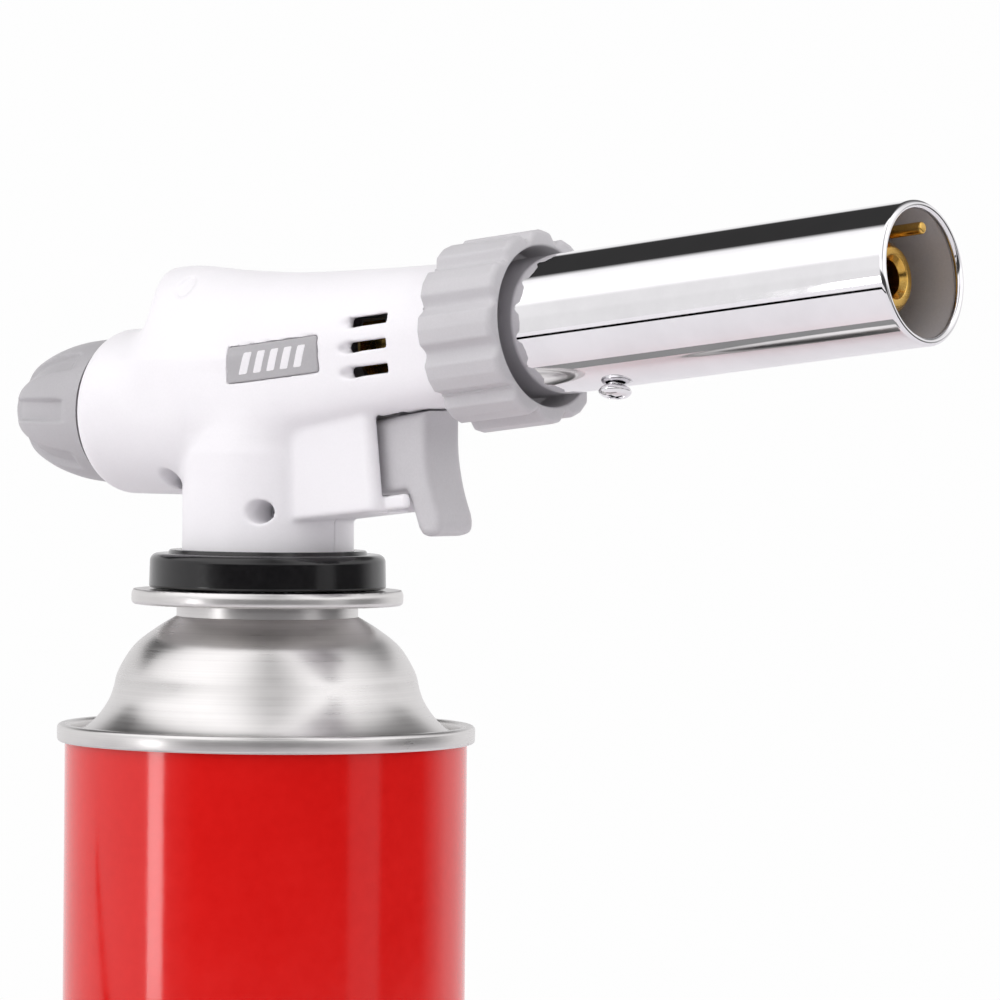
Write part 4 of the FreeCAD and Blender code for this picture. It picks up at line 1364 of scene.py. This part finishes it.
@dataclass
class Burner:
    """The brass nozzle at the mouth, the jet behind it and the spark electrode above."""

    electrode_height: float = 6.9
    electrode_across: float = 1.5
    electrode_start: float = 56.6
    electrode_end: float = 128.2
    electrode_radius: float = 0.95
    insulator_start: float = 57.2
    insulator_end: float = 106.0
    insulator_radius: float = 1.9

    def nozzle(self) -> Shape:
        """Returns the nozzle: a bevelled ring round the flame's hole."""
        outline = [
            (3.0, 113.1, 0.1), (3.0, 114.5, 0.2), (2.7, 116.5, 0.2), (2.7, 122.3, 0.15), (3.4, 123.3, 0.2),
            (4.6, 123.3, 0.4), (5.7, 122.0, 0.5), (5.7, 111.0, 0.3), (4.25, 111.0, 0.1), (4.25, 113.1, 0.1),
        ]
        return lathe(rounded(outline), 96).placed(barrel_axis())

    def electrode_axis(self) -> Matrix:
        """Returns the place of a shape turned about the electrode's own axis."""
        return barrel_axis(0, self.electrode_height, self.electrode_across)

    def electrode(self) -> Shape:
        """Returns the electrode: a round rod with a blunt rounded end."""
        radius, start, end = self.electrode_radius, self.electrode_start, self.electrode_end
        rod = rounded([(0.0, start, 0.0), (radius, start, 0.1), (radius, end, 0.4), (0.0, end, 0.0)], 6)
        return lathe(rod, 40, closed=False).placed(self.electrode_axis())

    def insulator(self) -> Shape:
        """Returns the glazed insulator, with rounded ends."""
        radius, start, end = self.insulator_radius, self.insulator_start, self.insulator_end
        bore = self.electrode_radius + 0.05
        outline = [(bore, start, 0.1), (radius, start, 0.4), (radius, end, 0.6), (bore, end, 0.1)]
        return lathe(rounded(outline), 48).placed(self.electrode_axis())

    def build(self) -> None:
        """Builds what shows in the mouth and dresses the rest."""
        add_piece("brass_nozzle", self.nozzle(), BRASS, "head", ["burner_nozzle"])
        add_piece("spark_electrode", self.electrode(), BRASS, "head", ["electrode"])
        add_piece("glazed_insulator", self.insulator(), ALUMINA, "head", ["electrode_insulator"])
        for node in ("burner_disc", "mixer_tube", "gas_jet", "jet_holder", "gas_tube"):
            dress(node, BRASS)


@dataclass
class Lighter:
    """The trigger and the piezo lighter that it presses."""

    half_width: float = 4.7
    top: float = -11.75
    front_top: float = -11.05
    foot: float = -23.5
    heel: float = 17.5
    pocket_half: float = 3.5
    pocket_end: float = 33.0
    plunger_height: float = -18.0
    spring_rear: float = 12.8
    spring_front: float = 19.4

    def outline(self) -> list[tuple[float, float]]:
        """Returns the trigger's side view: a hollowed front, a hooked toe and the slider behind."""
        front = smooth_line([(35.4, self.front_top), (34.75, -17.8), (35.2, -23.5), (36.25, -27.8)], 5)
        toe = smooth_line([(36.35, -28.9), (36.1, -30.2), (35.3, -30.9), (33.4, -31.1), (32.3, -30.6)], 3)
        behind = [(31.7, -29.6), (31.2, -27.6), (30.0, self.foot)]
        return [*front, *toe, *behind, (self.heel, self.foot), (self.heel, self.top)]

    def trigger_field(self, x: Array, y: Array, z: Array) -> Array:
        """The trigger as a solid, open behind for the plunger.

        Args:
            x, y, z: places by their station, across the torch and by their height over the barrel.

        Returns:
            The distance outside it, below zero within it.
        """
        side = polygon_distance(x, z, self.outline())
        body = blend_max(side, np.abs(y) - self.half_width, 1.5)
        pocket = np.maximum(np.abs(y) - self.pocket_half, slab(z, -21.9, -12.1))
        pocket = np.maximum(pocket, x - self.pocket_end)
        return cut(body, pocket, 0.3)

    def build(self) -> None:
        """Builds the trigger and the lighter's spring, and dresses the lighter."""
        trigger = skin(self.trigger_field, (17.0, -5.2, -31.8), (37.0, 5.2, -9.4), 0.25)
        tilted = Matrix.Rotation(-BARREL_TILT, 4, "Y")
        place = Matrix.Translation((0, 0, FLANGE_Z + BARREL_H)) @ tilted
        add_piece("pull_trigger", trigger.placed(place), TRIGGER_ABS, "trigger", ["trigger"], 60)
        spring = coil(radius=1.75, wire=0.5, low=self.spring_rear, high=self.spring_front, turns=7)
        spring = spring.placed(barrel_axis(0, self.plunger_height))
        piece = add_piece("lighter_spring", spring, MUSIC_WIRE, "head", ["piezo_spring"])
        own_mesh(piece)
        dress("piezo_body", LIGHTER_CASE)
        dress("piezo_plunger", ACETAL)
        dress("earth_contact", MUSIC_WIRE)
        dress("ignition_lead", SILICONE)


# Studio


@dataclass
class Studio:
    """The pale floor, the soft surroundings and the camera."""

    azimuth: float = 0.69925
    elevation: float = 0.03818
    pan: float = -0.04227
    tilt: float = -0.01946
    roll: float = 0.00968
    distance: float = 0.9
    lens: float = 197.15
    floor_radius: float = 1.0
    card_height: float = 0.002
    strip_turn: float = math.radians(-64.5)
    strip_half_width: float = 0.13
    strip_distance: float = 1.5
    strip_low: float = -0.2
    strip_high: float = 0.11

    def direction(self, turn: float, lift: float) -> Vector:
        """Returns the direction that points round by turn and up by lift, from the torch's right."""
        return Vector((math.sin(turn) * math.cos(lift), -math.cos(turn) * math.cos(lift), math.sin(lift)))

    def camera(self) -> None:
        """Places the camera at the viewing angle."""
        centre = Vector((0, 0, FLANGE_Z * MM))
        away = self.direction(self.azimuth, self.elevation)
        turn = self.azimuth + self.pan
        back = self.direction(turn, self.elevation + self.tilt)
        right = Vector((math.cos(turn), math.sin(turn), 0))
        up = back.cross(right)
        rolled = right * math.cos(self.roll) + up * math.sin(self.roll)
        upright = up * math.cos(self.roll) - right * math.sin(self.roll)
        data = bpy.data.cameras.new("studio_camera")
        data.lens, data.sensor_width = self.lens, 36.0
        data.clip_start, data.clip_end = 0.05, 100.0
        camera = bpy.data.objects.new("studio_camera", data)
        camera.matrix_world = Matrix.Translation(centre + away * self.distance) @ Matrix(
            (rolled, upright, back)
        ).transposed().to_4x4()
        bpy.context.scene.collection.objects.link(camera)
        bpy.context.scene.camera = camera

    def floor(self) -> None:
        """Lays a pale floor that brightens to white away from the torch."""
        work = bmesh.new()
        bmesh.ops.create_circle(work, cap_ends=True, segments=64, radius=self.floor_radius)
        mesh = bpy.data.meshes.new("studio_floor")
        work.to_mesh(mesh)
        work.free()
        floor = bpy.data.objects.new("studio_floor", mesh)
        material = bpy.data.materials.new("pale_floor")
        material.use_nodes = True
        tree = material.node_tree
        tree.nodes.clear()
        place = add_node(tree, "ShaderNodeTexCoord").outputs["Object"]
        reach = add_node(tree, "ShaderNodeVectorMath", {"operation": "LENGTH"}, i0=place).outputs["Value"]
        fade = add_node(tree, "ShaderNodeMapRange", {"From Min": 0.3, "From Max": 0.95}, Value=reach)
        pale = add_node(tree, "ShaderNodeBsdfPrincipled", {"Base Color": linear("#f1eff2"), "Roughness": 0.7})
        white = add_node(tree, "ShaderNodeEmission", {"Strength": 0.99})
        seen = add_node(tree, "ShaderNodeLightPath").outputs["Is Camera Ray"]
        share = add_node(
            tree, "ShaderNodeMath", {"operation": "MULTIPLY"}, i0=seen, i1=fade.outputs["Result"]
        ).outputs[0]
        both = add_node(tree, "ShaderNodeMixShader", Fac=share, i1=pale.outputs[0], i2=white.outputs[0])
        add_node(tree, "ShaderNodeOutputMaterial", Surface=both.outputs[0])
        mesh.materials.append(material)
        bpy.context.scene.collection.objects.link(floor)

    def card(self, name: str, corners: Sequence[Corner], glow: float) -> None:
        """Sets up a four-cornered card which only reflections see.

        Args:
            name: the card's name.
            corners: its corners in metres.
            glow: its brightness; 0 makes it black.
        """
        work = bmesh.new()
        work.faces.new([work.verts.new(c) for c in corners])
        mesh = bpy.data.meshes.new(name)
        work.to_mesh(mesh)
        work.free()
        card = bpy.data.objects.new(name, mesh)
        material = bpy.data.materials.new(name)
        material.use_nodes = True
        tree = material.node_tree
        tree.nodes.clear()
        light = add_node(tree, "ShaderNodeEmission", {"Strength": glow})
        add_node(tree, "ShaderNodeOutputMaterial", Surface=light.outputs[0])
        mesh.materials.append(material)
        card.visible_camera = card.visible_diffuse = card.visible_shadow = False
        bpy.context.scene.collection.objects.link(card)

    def cards(self) -> None:
        """Sets up what the polished barrel and the can's enamel reflect."""
        def lying(x0: float, x1: float, y0: float, y1: float) -> list[Corner]:
            """Gives the corners of a card just over the floor."""
            return [(x, y, self.card_height) for x, y in ((x0, y0), (x1, y0), (x1, y1), (x0, y1))]

        self.card("black_floor_card", lying(-1.6, 0.6, -0.585, -0.49), 0.0)
        # The grey card is a painted reflection: a grey band in the barrel, where the can wall itself is
        # hidden from reflections.
        self.card("grey_floor_card", lying(-0.4, 0.12, -0.07, -0.02), 0.3)
        front = self.direction(self.azimuth + self.strip_turn, 0.0)
        side = Vector((-front.y, front.x, 0)) * self.strip_half_width
        low, high = self.strip_low, self.strip_high
        corners = [
            tuple(front * self.strip_distance + side * hand + Vector((0, 0, z)))
            for hand, z in ((-1, low), (1, low), (1, high), (-1, high))
        ]
        self.card("light_strip", corners, 6.5)

    def ramp(self, tree: bpy.types.NodeTree, value: bpy.types.NodeSocket, stops: dict[float, float],
             low: float, high: float) -> bpy.types.NodeSocket:
        """Reads a brightness from stops.

        Args:
            tree: the world's node tree.
            value: what to look up.
            stops: the brightness at each value.
            low: the value of the first stop.
            high: the value of the last stop.

        Returns:
            The brightness.
        """
        share = add_node(tree, "ShaderNodeMapRange", {"From Min": low, "From Max": high}, Value=value)
        ramp = add_node(tree, "ShaderNodeValToRGB", Fac=share.outputs["Result"])
        elements = ramp.color_ramp.elements
        top = max(stops.values())
        while len(elements) < len(stops):
            elements.new(0.5)
        for element, (key, level) in zip(elements, sorted(stops.items())):
            element.position = (key - low) / (high - low)
            element.color = (level / top, level / top, level / top, 1)
        return add_node(
            tree, "ShaderNodeMath", {"operation": "MULTIPLY", 1: top}, i0=ramp.outputs["Color"]
        ).outputs[0]

    def surroundings(self) -> None:
        """Paints the light tent: white behind, soft boxes left and right, dark by the camera."""
        world = bpy.data.worlds.new("studio_world")
        bpy.context.scene.world = world
        world.use_nodes = True
        tree = world.node_tree
        tree.nodes.clear()
        way = add_node(tree, "ShaderNodeTexCoord").outputs["Generated"]
        right = (math.cos(self.azimuth), math.sin(self.azimuth), 0)
        front = (math.sin(self.azimuth), -math.cos(self.azimuth), 0)
        dot = {"operation": "DOT_PRODUCT"}
        across = add_node(tree, "ShaderNodeVectorMath", {**dot, 1: right}, i0=way).outputs["Value"]
        towards = add_node(tree, "ShaderNodeVectorMath", {**dot, 1: front}, i0=way).outputs["Value"]
        lift = add_node(tree, "ShaderNodeVectorMath", {**dot, 1: (0, 0, 1)}, i0=way).outputs["Value"]
        turn = add_node(tree, "ShaderNodeMath", {"operation": "ARCTAN2"}, i0=across, i1=towards).outputs[0]
        degrees = add_node(tree, "ShaderNodeMath", {"operation": "DEGREES"}, i0=turn).outputs[0]
        low = self.ramp(tree, degrees, {
            -180: 0.95, -72: 0.9, -57: 0.35, -40: 0.06, 46: 0.05, 50: 0.5, 66: 0.6,
            70: 0.08, 100: 0.08, 112: 0.5, 125: 0.95, 180: 0.95}, -180, 180)
        high = self.ramp(tree, degrees, {
            -180: 0.04, -126: 0.04, -117: 1.1, -96: 1.45, -55: 1.6, -25: 1.3, -5: 0.7, 8: 0.4, 22: 0.9,
            40: 1.6, 75: 1.4, 110: 0.8, 126: 0.25, 180: 0.04}, -180, 180)
        middle = self.ramp(tree, degrees, {
            -180: 0.95, -72: 0.95, -60: 1.3, -40: 1.5, -20: 1.3, 0: 0.85, 15: 0.9, 30: 1.3, 50: 1.6, 75: 1.4,
            100: 1.0, 180: 0.95}, -180, 180)
        level = low
        for upper, start, end in ((middle, 0.05, 0.16), (high, 0.34, 0.46)):
            share = add_node(
                tree, "ShaderNodeMapRange",
                {"interpolation_type": "SMOOTHSTEP", "From Min": start, "From Max": end}, Value=lift,
            ).outputs["Result"]
            mix = add_node(tree, "ShaderNodeMix", {"data_type": "FLOAT"}, i0=share, i2=level, i3=upper)
            level = mix.outputs[0]
        lit = add_node(tree, "ShaderNodeBackground", {"Color": (1.0, 0.992, 1.0, 1)}, Strength=level)
        white = add_node(tree, "ShaderNodeBackground", {"Color": (1, 1, 1, 1), "Strength": 0.99})
        seen = add_node(tree, "ShaderNodeLightPath").outputs["Is Camera Ray"]
        both = add_node(tree, "ShaderNodeMixShader", Fac=seen, i1=lit.outputs[0], i2=white.outputs[0])
        add_node(tree, "ShaderNodeOutputWorld", Surface=both.outputs[0])

    def soft_light(self, name: str, at: tuple[float, float, float], size: float, power: float) -> None:
        """Hangs a large soft light that points at the torch and isn't seen in reflections.

        Args:
            name: the light's name.
            at: its place in metres.
            size: its diameter in metres.
            power: its power in watts.
        """
        data = bpy.data.lights.new(name, "AREA")
        data.shape, data.size, data.energy = "DISK", size, power
        light = bpy.data.objects.new(name, data)
        aim = Vector((0.03, 0, 0.2)) - Vector(at)
        light.matrix_world = Matrix.Translation(at) @ aim.to_track_quat("-Z", "Y").to_matrix().to_4x4()
        light.visible_camera = light.visible_glossy = False
        bpy.context.scene.collection.objects.link(light)

    def build(self) -> None:
        """Sets the whole studio up."""
        self.camera()
        self.floor()
        self.cards()
        self.surroundings()
        self.soft_light("key_light", (-0.5, -1.3, 0.95), 0.9, 3.6)
        self.soft_light("top_light", (-0.1, 0.25, 1.3), 0.9, 1.0)
        self.soft_light("right_light", (0.55, 1.2, 0.4), 0.7, 1.5)
        bpy.context.scene.view_settings.view_transform = "Standard"


def main() -> None:
    """Builds the torch piece by piece around the CAD frame."""
    logging.basicConfig(level=logging.INFO, format="%(name)s %(message)s")
    housing = Housing()
    Studio().build()
    parts = (Cartridge(), FootRing(), housing, HousingScrews(housing), Nameplate(housing), Knob(),
             AirCollar(), Barrel(), Burner(), Lighter())
    for part in parts:
        part.build()


if __name__ == "__main__":
    main()
